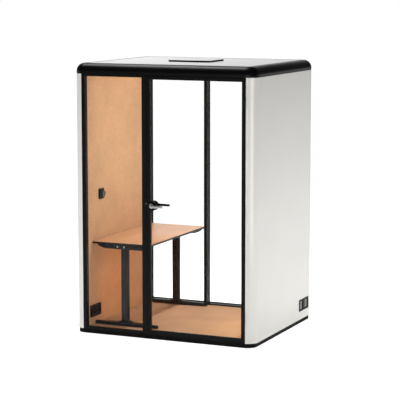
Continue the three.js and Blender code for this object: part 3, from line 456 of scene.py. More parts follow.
def orange_peel():
    """Powder coat: fine pimples of one size over slow waves of tone."""
    tree, inlet, outlet = pattern("Powder coat", {"Scale": 900.0, "Cloud": 3.0})
    vector = inlet.outputs["Vector"]
    fine = noise(tree, vector, inlet.outputs["Scale"], 2.0, 0.55)
    cloud = noise(tree, vector, inlet.outputs["Cloud"], 2.0)
    tone = fit(tree, weighed(tree, (fine, 0.35), (cloud, 0.65)), 0.35, 0.65)
    return hand_out(tree, outlet, tone, fit(tree, cloud, 0.3, 0.7), fine)


def felt_fibres():
    """Felt: crossing stretched fibres, pale flecks and slow waves of tone."""
    tree, inlet, outlet = pattern("Felt fibres", {"Scale": 520.0, "Fleck": 130.0, "Cloud": 5.0})
    vector = inlet.outputs["Vector"]
    scale = inlet.outputs["Scale"]
    drawn = 0.28
    ways = (((1.0, drawn, 1.0), (0.5, 0.3, 0.2)), ((1.0, 1.0, drawn), (-0.6, 0.4, 0.9)))
    crossing = [noise(tree, stretched(tree, vector, *way), scale, 3.0, 0.6, 0.6) for way in ways]
    fibres = sums(tree, "MAXIMUM", *crossing)
    fleck = noise(tree, vector, inlet.outputs["Fleck"], 4.0, 0.65)
    cloud = noise(tree, vector, inlet.outputs["Cloud"], 3.0)
    tone = fit(tree, weighed(tree, (fibres, 0.4), (fleck, 0.4), (cloud, 0.2)), 0.38, 0.68)
    gloss = fit(tree, fibres, 0.4, 0.7)
    return hand_out(tree, outlet, tone, gloss, sums(tree, "ADD", fibres, fleck))


def wood_grain():
    """Oak face: growth lines drawn out along Y, with short dark pores."""
    tree, inlet, outlet = pattern("Oak grain", {"Lines": 26.0, "Pores": 260.0})
    vector = inlet.outputs["Vector"]
    drawn = stretched(tree, vector, (1.0, 0.06, 1.0))
    lines = noise(tree, drawn, inlet.outputs["Lines"], 5.0, 0.6, 1.2)
    pores = noise(tree, stretched(tree, vector, (1.0, 0.035, 1.0)), inlet.outputs["Pores"], 2.0, 0.5)
    tone = fit(tree, weighed(tree, (lines, 0.65), (pores, 0.35)), 0.36, 0.66)
    return hand_out(tree, outlet, tone, fit(tree, pores, 0.35, 0.65), pores)


def brush_lines():
    """Satin metal: hair lines drawn out along X."""
    tree, inlet, outlet = pattern("Brushed lines", {"Scale": 1400.0})
    drawn = stretched(tree, inlet.outputs["Vector"], (0.02, 1.0, 1.0))
    lines = noise(tree, drawn, inlet.outputs["Scale"], 3.0, 0.6)
    cloud = noise(tree, inlet.outputs["Vector"], 30.0, 2.0)
    tone = fit(tree, cloud, 0.3, 0.7)
    return hand_out(tree, outlet, tone, fit(tree, lines, 0.3, 0.7), lines)


def finish(name, dark, light, group, values, gloss, bump=None, **sockets):
    """Principled material: the pattern's Tone runs its colour from dark to light, Gloss runs its
    roughness between two values, and Height raises its surface by a Bump node of a strength and a
    distance. Further sockets are set to plain values."""
    material = bpy.data.materials.new(name)
    material.use_nodes = True
    tree = material.node_tree
    tree.nodes.clear()
    shader = tree.nodes.new("ShaderNodeBsdfPrincipled")
    output = tree.nodes.new("ShaderNodeOutputMaterial")
    link(tree, shader.outputs["BSDF"], output.inputs["Surface"])
    place = tree.nodes.new("ShaderNodeTexCoord")
    node = tree.nodes.new("ShaderNodeGroup")
    node.node_tree = group
    link(tree, place.outputs["Object"], node.inputs["Vector"])
    for label, value in values.items():
        node.inputs[label].default_value = value
    mix = tree.nodes.new("ShaderNodeMix")
    mix.data_type = "RGBA"
    for number, shade_colour in zip(MIX_COLOURS, (dark, light)):
        mix.inputs[number].default_value = (*shade_colour, 1.0)
    link(tree, node.outputs["Tone"], mix.inputs[0])
    link(tree, mix.outputs[MIX_COLOUR_OUT], shader.inputs["Base Color"])
    link(tree, fit(tree, node.outputs["Gloss"], 0.0, 1.0, *gloss), shader.inputs["Roughness"])
    if bump:
        raised = tree.nodes.new("ShaderNodeBump")
        raised.inputs["Strength"].default_value = bump[0]
        raised.inputs["Distance"].default_value = bump[1]
        link(tree, node.outputs["Height"], raised.inputs["Height"])
        link(tree, raised.outputs["Normal"], shader.inputs["Normal"])
    for label, value in sockets.items():
        shader.inputs[label.replace("_", " ")].default_value = value
    return material


def shade(value, share):
    """Colour darkened or lightened by a share."""
    return tuple(min(1.0, v * share) for v in value)


def clear_glass(group):
    """Clear glass: bent light for what is seen, and a free way for light that falls through it."""
    material = finish("clear_glass", coat(254, 255, 254), coat(255, 255, 255), group,
                      {"Scale": 40.0, "Cloud": 2.0}, (0.0, 0.004), None,
                      Transmission_Weight=1.0, IOR=1.12)
    tree = material.node_tree
    shader = next(node for node in tree.nodes if node.type == "BSDF_PRINCIPLED")
    rays = tree.nodes.new("ShaderNodeLightPath")
    falling = sums(tree, "MAXIMUM", rays.outputs["Is Shadow Ray"], rays.outputs["Is Diffuse Ray"])
    link(tree, sums(tree, "SUBTRACT", 1.0, falling), shader.inputs["Alpha"])
    return material


def make_materials(tint):
    """All finishes, by the record's slot names and a few of their own."""
    peel, fibres, grain, lines = orange_peel(), felt_fibres(), wood_grain(), brush_lines()
    fine = {"Scale": 900.0, "Cloud": 3.0}
    smooth = {"Scale": 1500.0, "Cloud": 8.0}
    carpet_pile = {"Scale": 300.0, "Fleck": 190.0, "Cloud": 4.0}
    coat_bump, plastic_bump = (0.03, 0.0002), (0.1, 0.0002)
    shell, frames, edge = tuple(tint.shell), tuple(tint.frames), tuple(tint.moulding)
    roof, felt, carpet = tuple(tint.roof), tuple(tint.felt), tuple(tint.carpet)
    oak, steel = tuple(tint.oak), tuple(tint.steel)
    black = shade(frames, 0.8)
    MATERIALS.update({
        "shell_white": finish("white_coat", shade(shell, 0.975), shell, peel, fine, (0.24, 0.26),
                              coat_bump, Specular_IOR_Level=0.35),
        "frame_black": finish("black_coat", shade(frames, 0.75), shade(frames, 1.15), peel, fine,
                              (0.34, 0.44), coat_bump, Specular_IOR_Level=0.18),
        "plinth_black": finish("plinth_coat", black, shade(frames, 1.3), peel, fine, (0.5, 0.62),
                               coat_bump, Specular_IOR_Level=0.1),
        "roof_edge_black": finish("roof_moulding", shade(edge, 0.8), shade(edge, 1.15), peel, smooth,
                                  (0.3, 0.36), coat_bump, Specular_IOR_Level=0.25),
        "roof_pale": finish("roof_coat", shade(roof, 0.965), roof, peel, fine, (0.42, 0.5),
                            (0.05, 0.0003)),
        "felt_tan": finish("felt", shade(felt, 0.68), shade(felt, 1.14), fibres, {"Fleck": 75.0},
                           (0.88, 1.0), (0.15, 0.0010), Sheen_Weight=0.06, Sheen_Roughness=0.6),
        "carpet_tan": finish("carpet", shade(carpet, 0.6), shade(carpet, 1.12), fibres, carpet_pile,
                             (0.92, 1.0), (0.7, 0.003)),
        "glass_clear": clear_glass(peel),
        "desk_oak": finish("oak_face", shade(oak, 0.82), shade(oak, 1.06), grain, {}, (0.28, 0.36),
                           (0.06, 0.0003), Specular_IOR_Level=0.35),
        "desk_core": finish("desk_core", shade(black, 0.8), shade(black, 1.3), peel, smooth, (0.4, 0.5)),
        "desk_black": finish("desk_coat", coat(15, 15, 15), coat(22, 22, 21), peel, fine, (0.32, 0.42),
                             coat_bump, Specular_IOR_Level=0.4),
        "steel_satin": finish("satin_steel", shade(steel, 0.86), steel, lines, {}, (0.22, 0.36),
                              (0.04, 0.0002), Metallic=1.0),
        "rubber_black": finish("rubber", coat(16, 16, 16), coat(27, 27, 27), peel, smooth, (0.7, 0.85),
                               (0.1, 0.0003)),
        "plastic_black": finish("black_plastic", coat(7, 7, 7), coat(13, 13, 13), peel, smooth,
                                (0.4, 0.52), plastic_bump, Specular_IOR_Level=0.15),
        "plastic_grey": finish("grey_plastic", coat(44, 44, 44), coat(60, 60, 59), peel, smooth,
                               (0.35, 0.46), plastic_bump),
        "outlet_grey": finish("outlet_grey", coat(150, 150, 148), coat(168, 168, 166), peel, smooth,
                              (0.4, 0.5), plastic_bump),
        "mark_pale": finish("pale_mark", coat(226, 226, 224), coat(240, 240, 238), peel, smooth,
                            (0.5, 0.6)),
        "lens_milky": finish("milky_lens", coat(240, 238, 232), coat(250, 248, 244), peel, smooth,
                             (0.35, 0.45), None, Emission_Strength=1.2,
                             Emission_Color=(1.0, 0.97, 0.92, 1.0)),
    })


# Operators


class POD_OT_finishes(bpy.types.Operator):
    """Makes the materials and paints every CAD node by its material slot."""
    bl_idname = "pod.finishes"
    bl_label = "Finishes"

    def execute(self, context):
        make_materials(context.scene.pod_finishes)
        for entry in frame["record"]["subparts"]:
            node = frame["nodes"][entry["node"]]
            for place in node.material_slots:
                place.link = "OBJECT"
                place.material = MATERIALS[entry["material_slot"]]
        return {"FINISHED"}


class POD_OT_roof_edge(bpy.types.Operator):
    """Roof moulding: a straight rise, a quarter round and a flat rim, carried round the shell's plan."""
    bl_idname = "pod.roof_edge"
    bl_label = "Roof edge"

    def execute(self, context):
        low, high = span("roof_edge")
        bend, rim, wall, rise = 0.066, 0.018, 0.004, 0.0185
        shoulder = low[2] + rise
        turn = quarter(25)
        lip = bend + rim
        insets = np.concatenate([
            [0.0015, 0.0, 0.0], bend - bend * np.cos(turn), [lip - 0.001, lip],
            [lip, wall + 0.02, wall, wall]])
        heights = np.concatenate([
            [low[2], low[2] + 0.0015, shoulder - 0.001], shoulder + bend * np.sin(turn),
            [high[2], high[2] - 0.001],
            [high[2] - wall, high[2] - wall - 0.02, shoulder, low[2]]])
        rings = rounded_rings(insets, heights, high[:2], SHELL_BEND, 0.006, 18)
        piece = put("roof_moulding", hoop(rings), "pod", "roof_edge_black")
        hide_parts("roof_edge")
        return {"FINISHED"}


class POD_OT_side_shells(bpy.types.Operator):
    """Folded side skins: a fold along the frame, a corner arc, the flat side and the same again."""
    bl_idname = "pod.side_shells"
    bl_label = "Side shells"

    def execute(self, context):
        low, high = span("side_shell_right")
        outlet_low, outlet_high = span("service_outlet")
        wide, bend, skin, fold, edge = high[0], SHELL_BEND, 0.003, 0.014, low[0]
        deep = span("roof_edge")[1][1]
        centre = (wide - bend, deep - bend)
        hole_y = (outlet_low[1] + 0.0086, outlet_high[1] - 0.0086)
        hole_z = (outlet_low[2] + 0.0086, outlet_high[2] - 0.0086)
        flat = np.sort(np.concatenate([np.linspace(-centre[1], centre[1], 9)[1:-1], hole_y]))

        def path(inset, start):
            """Plan of one face of the skin, from the front fold to the rear fold."""
            radius = bend - inset
            sweep = np.arccos((start - centre[0]) / radius)
            turn = np.linspace(0.0, sweep, 22)
            arc_x = centre[0] + radius * np.cos(turn)
            arc_y = centre[1] + radius * np.sin(turn)
            back = centre[1] + bend * np.sin(np.arccos((edge - centre[0]) / bend)) - fold
            x = np.concatenate([[start], arc_x[::-1], np.full(len(flat), wide - inset), arc_x, [start]])
            y = np.concatenate([[-back], -arc_y[::-1], flat, arc_y, [back]])
            return np.stack([x, y], axis=-1)

        levels = np.array([low[2], hole_z[0], hole_z[1], 0.7, 1.4, high[2]])
        for name, side in (("left", -1.0), ("right", 1.0)):
            faces = []
            for inset in (0.0, skin):
                plan = path(inset, edge + inset)
                plan = plan[::int(side)] * np.array([side, 1.0])
                rows = np.broadcast_to(plan[None], (len(levels), *plan.shape))
                tall = np.broadcast_to(levels[:, None, None], (*rows.shape[:2], 1))
                faces.append(np.concatenate([rows, tall], axis=-1))
            middle = (faces[0][:-1, :-1] + faces[0][1:, 1:]) / 2
            within = ((middle[..., 1] > hole_y[0]) & (middle[..., 1] < hole_y[1])
                      & (middle[..., 2] > hole_z[0]) & (middle[..., 2] < hole_z[1]))
            solid = thick_sheet(*faces, ~within if side > 0 else np.ones_like(within))
            piece = put(f"side_skin_{name}", solid, "pod", "shell_white")
            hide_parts(f"side_shell_{name}")
        return {"FINISHED"}


class POD_OT_vent(bpy.types.Operator):
    """Roof vent lid: a thin board with a rolled edge painted black, partly as painted shade of the gap under
    it, over a pleated screen behind its slots.
    """
    bl_idname = "pod.vent"
    bl_label = "Roof vent"

    def execute(self, context):
        low, high = span("vent_cover")
        thick = high[2] - low[2]
        turn = quarter(7)
        roll = thick * 0.6
        insets = np.concatenate([[0.0008, 0.0], roll * (1.0 - np.cos(turn))])
        heights = np.concatenate([[low[2], low[2] + 0.0008], high[2] - roll + roll * np.sin(turn)])
        steps = 12
        lid = slab(insets, heights, high[:2], 0.03, (0.0, 0.0), steps)
        rows = len(insets) - 1
        # All rows of the rolled edge but the top one, and the lower face, take the black finish: partly
        # painted shade that widens the dark line of the gap under the lid.
        paint = np.concatenate([np.repeat(np.arange(rows) < rows - 1, 4 * (steps + 1)), [1, 0]])
        piece = put("vent_lid", lid, "pod", "roof_pale", ["roof_pale", "plinth_black"], paint=paint)
        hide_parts("vent_cover")
        self.screen(high[:2])
        return {"FINISHED"}

    def screen(self, half):
        """Pleated screen: a triangle wave along a rounded rectangle, drawn upwards as a thin wall."""
        low, high = span("vent_riser")
        ring = rounded_rings([0.0200], [0.0], half, 0.03, 0.004, 12)[0, :, :2]
        ring = np.concatenate([ring, ring[:1]])
        mark = np.concatenate([[0.0], np.cumsum(np.linalg.norm(np.diff(ring, axis=0), axis=1))])
        place = np.linspace(0.0, mark[-1], 960, endpoint=False)
        path = np.stack([np.interp(place, mark, ring[:, axis]) for axis in (0, 1)], axis=-1)
        along = np.roll(path, -1, axis=0) - np.roll(path, 1, axis=0)
        out = np.stack([along[:, 1], -along[:, 0]], axis=-1) / np.linalg.norm(along, axis=1)[:, None]
        wave = np.abs(np.arange(len(place)) % 8 - 4.0) / 4.0 * 0.003
        rows = []
        for shift, level in ((0.0, low[2] + 0.0006), (0.0, high[2] - 0.0006), (-0.0006, high[2] - 0.0006),
                             (-0.0006, low[2] + 0.0006)):
            plan = path + out * (wave + shift)[:, None]
            rows.append(np.concatenate([plan, np.full((len(plan), 1), level)], axis=1))
        put("vent_screen", hoop(np.stack(rows)), "pod", "roof_edge_black", ["rubber_black"])


class POD_OT_gaskets(bpy.types.Operator):
    """Rubber line round each pane: a rounded wedge in the corner between the glass and its frame."""
    bl_idname = "pod.gaskets"
    bl_label = "Glazing gaskets"

    def execute(self, context):
        width = context.scene.pod_fittings.gasket_width
        bite = 0.0045
        gap = 0.0002
        turn = quarter(7)
        for pane, body in (("front_glass", "pod"), ("door_glass", "door"), ("rear_glass_left", "pod"),
                           ("rear_glass_right", "pod")):
            low, high = span(pane)
            centre = (low + high) / 2
            half = (high - low) / 2 - bite - gap
            for label, face, away in (("outer", low[1], -1.0), ("inner", high[1], 1.0)):
                start = face + away * gap
                insets = np.concatenate([[0.0], width * np.sin(turn)])
                heights = start + away * np.concatenate([[0.0], width * np.cos(turn)])
                rings = rounded_rings(insets, heights, half[::2], 0.0, 0.0003, 2, centre[::2])
                name = f"gasket_{pane}_{label}"
                put(name, hoop(lay(rings, (0, 2, 1))), body, "rubber_black")
        return {"FINISHED"}


class POD_OT_levers(bpy.types.Operator):
    """Lever grips: a round neck bends through a quarter turn into a flat bar that thins to a round tip."""
    bl_idname = "pod.levers"
    bl_label = "Levers"

    def execute(self, context):
        thick = context.scene.pod_fittings.lever_thickness
        outer_low, outer_high = span("lever_outer")
        inner_low, inner_high = span("lever_inner")
        stile_high = span("door_stile_lock")[1]
        rose_low = span("lever_rose_outer")[0]
        axis_x, _, axis_z = joint_place("lever_turn")
        tip = outer_high[0] - axis_x
        neck_radius, bend, root, fall_by, nose = 0.0098, 0.018, 0.011, 0.002, 0.009
        for name, node, start, face, away in (
                ("outer", "lever_outer", outer_high[1], outer_low[1], -1.0),
                ("inner", "lever_inner", stile_high[1] + 0.0006, inner_high[1], 1.0)):
            reach = abs(face - start) - thick / 2
            neck = reach - bend
            total = neck + bend * np.pi / 2 + tip - bend
            way = np.concatenate([np.linspace(0.0, neck, 14)[:-1], np.linspace(neck, total - nose, 70),
                                  total - nose * (1.0 - np.sin(quarter(14)))[1:]])
            turn = np.pi / 2 * np.clip((way - neck) / (bend * np.pi / 2), 0.0, 1.0)
            bent = np.clip(way - neck - bend * np.pi / 2, 0.0, None)
            x = axis_x + bend * (1.0 - np.cos(turn)) + bent
            y = start + away * (np.clip(way, None, neck) + bend * np.sin(turn))
            flat = smooth_step((way - neck * 0.7) / 0.03)
            past = np.clip(way - total + nose, 0.0, None) / nose
            close = np.sqrt(np.clip(1.0 - past ** 2, 0.0, 1.0))
            fall = np.clip(bent / (tip - bend), 0.0, 1.0)
            across = ((1.0 - flat) * neck_radius + flat * thick / 2 * (1.0 - 0.12 * fall)) * np.sqrt(close)
            tall = ((1.0 - flat) * neck_radius + flat * (root - fall_by * fall)) * (0.04 + 0.96 * close)
            power = (1.0 - 0.5 * flat)[:, None]
            oval_out, oval_up = squared_oval(32, power)
            out, up = across[:, None] * oval_out, tall[:, None] * oval_up
            points = np.stack([x[:, None] + out * np.cos(turn)[:, None],
                               y[:, None] - away * out * np.sin(turn)[:, None],
                               axis_z + up], axis=-1)
            parts = [tube(points)]
            if name == "outer":
                ring = turned([0.0, 0.0195, 0.02, 0.02, 0.0188, 0.0150, 0.0138, 0.0],
                              [0.0, 0.0, 0.0005, 0.0027, 0.0039, 0.0039, 0.0030, 0.0030],
                              (axis_x, rose_low[1] - 0.0004, axis_z), (0, -1, 0), 64)
                parts.append(tube(ring, False))
            else:
                rings = rounded_rings([0.0, 0.0], [inner_low[1], start + 0.002], (0.00325, 0.00325), 0.0004,
                                      0.0004, 2, (axis_x, axis_z))
                parts.append(tube(lay(rings, (0, 2, 1))))
            # The inner grip is the same steel lever as the outer one but takes the black frame finish: painted
            # shade of the backlit inner lever.
            slot = "steel_satin" if name == "outer" else "frame_black"
            piece = put(f"lever_grip_{name}", together(*parts), "handle", "steel_satin", [slot], 50.0)
            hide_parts(node)
        return {"FINISHED"}


class POD_OT_roses(bpy.types.Operator):
    """Lever roses: a turned plate with a rolled rim, and a straight-sided pad that bears on the glass."""
    bl_idname = "pod.roses"
    bl_label = "Lever roses"

    def execute(self, context):
        axis = joint_place("lever_turn")[::2]
        stile_low, stile_high = span("door_stile_lock")
        chord = stile_high[0] + 0.004 - axis[0]
        bore, gap = 0.0104, 0.0004
        outer_low, outer_high = span("lever_rose_outer")
        inner_low, inner_high = span("lever_rose_inner")
        radius = (outer_high[0] - outer_low[0]) / 2
        outer = [self.plate(axis, radius, bore, stile_low[1] - gap, outer_low[1]),
                 self.pad(axis, radius, bore, chord, outer_high[1], stile_low[1] - gap)]
        cup = 0.0335
        inner = [self.plate(axis, radius, bore, stile_high[1] + gap, inner_high[1]),
                 self.pad(axis, radius, 0.006, chord, inner_low[1], inner_low[1] + 0.0016),
                 self.wall(axis, radius, cup, chord, inner_low[1] + 0.0016, stile_high[1] + gap)]
        for name, parts in (("outer", outer), ("inner", inner)):
            piece = put(f"rose_plate_{name}", together(*parts), "door", "frame_black", crease=50.0)
            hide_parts(f"lever_rose_{name}")
        return {"FINISHED"}

    def plate(self, axis, radius, bore, back, face):
        """Section from the bore along the back, up the edge, round a quarter circle and in over the face."""
        turn = quarter(7)
        thick = abs(face - back)
        roll = 0.0022
        radii = np.concatenate([[bore, radius - 0.0004, radius], radius - roll + roll * np.cos(turn), [bore]])
        heights = np.concatenate([[0.0, 0.0, 0.0004], thick - roll + roll * np.sin(turn), [thick]])
        way = (0.0, math.copysign(1.0, face - back), 0.0)
        return hoop(turned(radii, heights, (axis[0], back, axis[1]), way, 96))

    def pad(self, axis, radius, bore, chord, start, end):
        """Circle cut off by a chord, round a bore, drawn along Y."""
        angle = full_turn(96)
        rows = []
        for size, y in ((radius, start), (radius, end), (bore, end), (bore, start)):
            x = np.maximum(size * np.cos(angle), chord)
            z = axis[1] + size * np.sin(angle)
            rows.append(np.stack([axis[0] + x, np.full(len(angle), y), z], axis=-1))
        return hoop(np.stack(rows))

    def wall(self, axis, radius, cup, chord, start, end):
        """Four-cornered section carried round an arc from one end of the chord to the other."""
        sweep = math.acos(chord / radius)
        angle = np.linspace(-sweep, sweep, 72)[:, None]
        size = np.array([radius, radius, cup, cup])[None, :]
        y = np.broadcast_to(np.array([start, end, end, start])[None, :], (len(angle), 4))
        return tube(np.stack([axis[0] + size * np.cos(angle), y, axis[1] + size * np.sin(angle)], axis=-1))


class POD_OT_control(bpy.types.Operator):
    """Wall control: a ridged knob, turned with a rippled radius, a pointer and a ring of scale marks."""
    bl_idname = "pod.control"
    bl_label = "Wall control"

    def execute(self, context):
        sizes = context.scene.pod_fittings
        low, high = span("control_knob")
        plate_high = span("control_plate")[1]
        middle = (low + high) / 2
        base, rim, radius = plate_high[0] + 0.0004, high[0], (high[1] - low[1]) / 2
        tall = rim - base
        radii = np.array([0.0, 1.0, 1.0, 0.985, 0.955, 0.945, 0.93, 0.885, 0.84, 0.80, 0.3, 0.0]) * radius
        heights = np.array([0.0, 0.0, 0.06, 0.12, 0.70, 0.80, 0.88, 0.97, 1.0, 0.985, 0.975, 0.97]) * tall
        grip = np.array([0, 0, 0, 1, 1, 0, 0, 0, 0, 0, 0, 0], dtype=float)[:, None]
        steps = sizes.knob_ridges * 6
        angle = full_turn(steps)[None, :]
        ripple = -0.0007 * grip * (0.5 + 0.5 * np.cos(sizes.knob_ridges * angle))
        knob = turned(radii, heights, (base, middle[1], middle[2]), (1, 0, 0), steps, ripple)
        piece = put("control_dial", tube(knob, False), "knob", "plastic_grey", crease=40.0)
        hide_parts("control_knob")
        ring = turned(np.array([0.86, 0.90, 0.90, 0.86]) * radius, np.array([0.99, 0.985, 1.0, 1.005]) * tall,
                      (base, middle[1], middle[2]), (1, 0, 0), 64)
        put("control_dial_ring", hoop(ring), "knob", "steel_satin")
        turns = np.radians(np.linspace(-135.0, 135.0, sizes.scale_marks))
        line = rounded_rings([0.0, 0.0, 0.0003], [rim - 0.0004, rim + 0.0001, rim + 0.0004], (0.0012, 0.008),
                             0.001, 0.0004, 4, (0.0, radius * 0.5))
        put("control_pointer", self.spoke(line, middle, turns[0]), "knob", "plastic_grey", ["mark_pale"])
        mark = rounded_rings([0.0, 0.0], [plate_high[0] - 0.0002, plate_high[0] + 0.0004], (0.0007, 0.0022),
                             0.0004, 0.0003, 2, (0.0, radius + 0.0055))
        marks = [self.spoke(mark, middle, turn) for turn in turns]
        put("control_scale", together(*marks), "pod", "plastic_grey", ["mark_pale"])
        return {"FINISHED"}

    def spoke(self, rings, middle, turn):
        """Mark drawn upright in X and Y, stood on the wall and turned round the knob's axis."""
        across, out, level = rings[..., 0], rings[..., 1], rings[..., 2]
        y = middle[1] + across * np.cos(turn) - out * np.sin(turn)
        z = middle[2] + across * np.sin(turn) + out * np.cos(turn)
        return tube(np.stack([level, y, z], axis=-1))


class POD_OT_outlets(bpy.types.Operator):
    """Outlet inserts: a faced plate in each well, with a dished round mouth and contact holes."""
    bl_idname = "pod.outlets"
    bl_label = "Outlets"

    def execute(self, context):
        for node, axis, well, depth, pitch, finish_name in (
                ("inner_outlet", 1.0, 0.046, 0.008, 0.09, "plastic_black"),
                ("service_outlet", 1.0, 0.070, 0.012, 0.112, "outlet_grey")):
            low, high = span(node)
            middle = (low + high) / 2
            face = high[0]
            for number, side in ((1, -0.5), (2, 0.5)):
                y = middle[1] + side * pitch
                floor = face - depth + 0.0003
                half = well / 2 - 0.0006
                plate = rounded_rings([0.0, 0.0, 0.0008], [floor, floor + 0.0022, floor + 0.003],
                                      (half, half), 0.004, 0.002, 5, (y, middle[2]))
                mouth = turned(np.array([0.50, 0.50, 0.47, 0.44, 0.43, 0.0]) * half,
                               np.array([0.0028, 0.0042, 0.0046, 0.0042, 0.0024, 0.0024]),
                               (floor, y, middle[2]), (axis, 0, 0), 40)
                put(f"{node}_insert_{number}", tube(lay(plate, (2, 0, 1))), "pod", "plastic_black",
                    [finish_name])
                put(f"{node}_mouth_{number}", tube(mouth, False), "pod", "plastic_black")
                holes = []
                for shift in (-0.0095, 0.0095):
                    holes.append(tube(turned([0.0030, 0.0030, 0.0022, 0.0], [0.0020, 0.0030, 0.0030, 0.0012],
                                             (floor, y + shift, middle[2]), (axis, 0, 0), 20), False))
                put(f"{node}_contacts_{number}", together(*holes), "pod", "plastic_black",
                    ["rubber_black"])
        return {"FINISHED"}


class POD_OT_desk(bpy.types.Operator):
    """Desk: an oak-faced board with a dark undercut edge on two T legs with swept arms and feet."""
    bl_idname = "pod.desk"
    bl_label = "Desk"

    def execute(self, context):
        low, high = span("desk_top")
        middle = (low + high) / 2
        half = (high - low) / 2
        thick = high[2] - low[2]
        face = 0.0009
        insets = np.array([0.0025, 0.002, 0.0003, 0.0, 0.0, 0.0002, 0.0006])
        heights = low[2] + np.array([0.0, 0.0002, 0.0022, 0.0028, thick - face, thick - 0.0002, thick])
        steps = 8
        board = slab(insets, heights, half[:2], 0.006, middle[:2], steps)
        columns = 4 * (steps + 1)
        paint = np.concatenate([np.repeat([1, 1, 1, 1, 0, 0], columns), [1, 0]])
        piece = put("desk_board", board, "pod", "desk_oak", ["desk_oak", "desk_core"], paint=paint)
        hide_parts("desk_top")
        for name in ("front", "rear"):
            self.leg(name)
            self.foot(name)
            self.screws(context, name)
        return {"FINISHED"}

    def leg(self, name):
        """Column: a rounded rectangle drawn upwards from a flared foot. Arm: flat on top, and its belly
        follows a parabola up to both tips."""
        low, high = span(f"desk_leg_{name}")
        beam_low, beam_high = span("desk_beam")
        x = (beam_low[0] + beam_high[0]) / 2
        y = (low[1] + high[1]) / 2
        turn = quarter(9)
        insets = np.concatenate([[-0.008], -0.008 * (1.0 - np.sin(turn)), [0.0]])
        heights = np.concatenate([[low[2] - 0.010], low[2] + 0.012 * (1.0 - np.cos(turn)), [high[2] - 0.01]])
        column = rounded_rings(insets, heights, (0.035, 0.023), 0.02, 0.004, 10, (x, y))
        share = np.linspace(0.0, 1.0, 30) ** 1.5
        sweep = 2.0 * (1.0 - share) * share * 0.037 + share * share * 0.110
        depth = (1.0 - share) ** 2 * 0.009 + (1.0 - (1.0 - share) ** 2) * 0.040
        along = np.concatenate([low[0] + sweep, high[0] - sweep[::-1]])
        belly = np.concatenate([depth, depth[::-1]])
        end = np.minimum(along - low[0], high[0] - along)
        close = np.sqrt(np.clip(1.0 - (1.0 - np.clip(end / 0.019, 0.0, 1.0)) ** 2, 0.0, 1.0))
        width = 0.010 + 0.019 * close
        arm = oval_bar(along, width, np.full(len(along), high[2]), high[2] - belly, y, 0.3)
        piece = put(f"desk_stand_{name}", together(tube(column), tube(arm)), "pod", "desk_black", crease=40.0)
        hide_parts(f"desk_leg_{name}")

    def foot(self, name):
        """Foot: wide and high under the column, lower and round at its tips. A smooth hump runs
        up to the column."""
        low, high = span(f"desk_foot_{name}")
        beam_low, beam_high = span("desk_beam")
        x = (beam_low[0] + beam_high[0]) / 2
        y = (low[1] + high[1]) / 2
        turn = np.linspace(0.0, np.pi, 90)
        along = low[0] + (high[0] - low[0]) * (1.0 - np.cos(turn)) / 2
        end = np.minimum(along - low[0], high[0] - along)
        reach = np.where(along < x, x - low[0], high[0] - x)
        share = smooth_step(1.0 - np.clip(np.abs(along - x) - 0.044, 0.0, None) / (reach - 0.044))
        close = np.sqrt(np.clip(1.0 - (1.0 - np.clip(end / 0.02, 0.0, 1.0)) ** 2, 0.0, 1.0))
        width = (0.02 + 0.015 * share) * close
        hump = smooth_step(1.0 - np.clip(np.abs(along - x) - 0.034, 0.0, None) / 0.036)
        tall = (0.026 + 0.006 * share) * (0.88 + 0.12 * close) + 0.012 * hump
        bar = oval_bar(along, width, low[2] + tall, np.full(len(along), low[2]), y, 0.42)
        piece = put(f"desk_base_{name}", tube(bar), "pod", "desk_black", crease=40.0)
        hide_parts(f"desk_foot_{name}")

    def screws(self, context, name):
        """Screw heads on the arm's outer face, each with a six-sided recess. The steel heads are painted pale:
        a painted highlight for their glint.
        """
        sizes = context.scene.pod_fittings
        low, high = span(f"desk_leg_{name}")
        beam_low, beam_high = span("desk_beam")
        x = (beam_low[0] + beam_high[0]) / 2
        outward = -1.0 if name == "front" else 1.0
        face = low[1] if name == "front" else high[1]
        radius = sizes.screw_radius
        radii = np.array([1.0, 1.0, 0.9, 0.55, 0.55, 0.0]) * radius
        heights = np.array([-0.002, 0.0006, 0.0012, 0.0014, -0.0002, -0.0002])
        angle = full_turn(36)[None, :]
        six = 1.0 / np.cos((angle + np.pi / 6) % (np.pi / 3) - np.pi / 6) - 1.0
        ripple = np.array([0, 0, 0, 1, 1, 0], dtype=float)[:, None] * six * 0.5 * radius
        heads = [tube(turned(radii, heights, (x + place, face, high[2] - 0.019), (0, outward, 0), 36, ripple),
                      False) for place in (-sizes.screw_spacing, 0.002)]
        # The steel screw heads take the pale finish in place of satin steel: a painted highlight for their
        # glint.
        put(f"desk_screws_{name}", together(*heads), "pod", "steel_satin", ["mark_pale"], 25.0)


class POD_OT_hinges(bpy.types.Operator):
    """Hinge finials: a domed cap on both ends of each hinge pin."""
    bl_idname = "pod.hinges"
    bl_label = "Hinge caps"

    def execute(self, context):
        joint = next(j for j in frame["joints"] if j["name"] == "door_swing")
        x, y = joint["pos_m"][:2]
        turn = quarter(7)
        radii = np.concatenate([[0.0, 0.0065], 0.0065 * np.cos(turn)])
        heights = np.concatenate([[0.0, 0.0], 0.0008 + 0.0032 * np.sin(turn)])
        for level in ("lower", "middle", "upper"):
            low, high = span(f"hinge_{level}_frame")
            caps = [tube(turned(radii, heights, (x, y, z), (0, 0, up), 32), False)
                    for z, up in ((high[2] + 0.0002, 1.0), (low[2] - 0.0002, -1.0))]
            put(f"hinge_caps_{level}", together(*caps), "pod", "frame_black", crease=40.0)
        return {"FINISHED"}


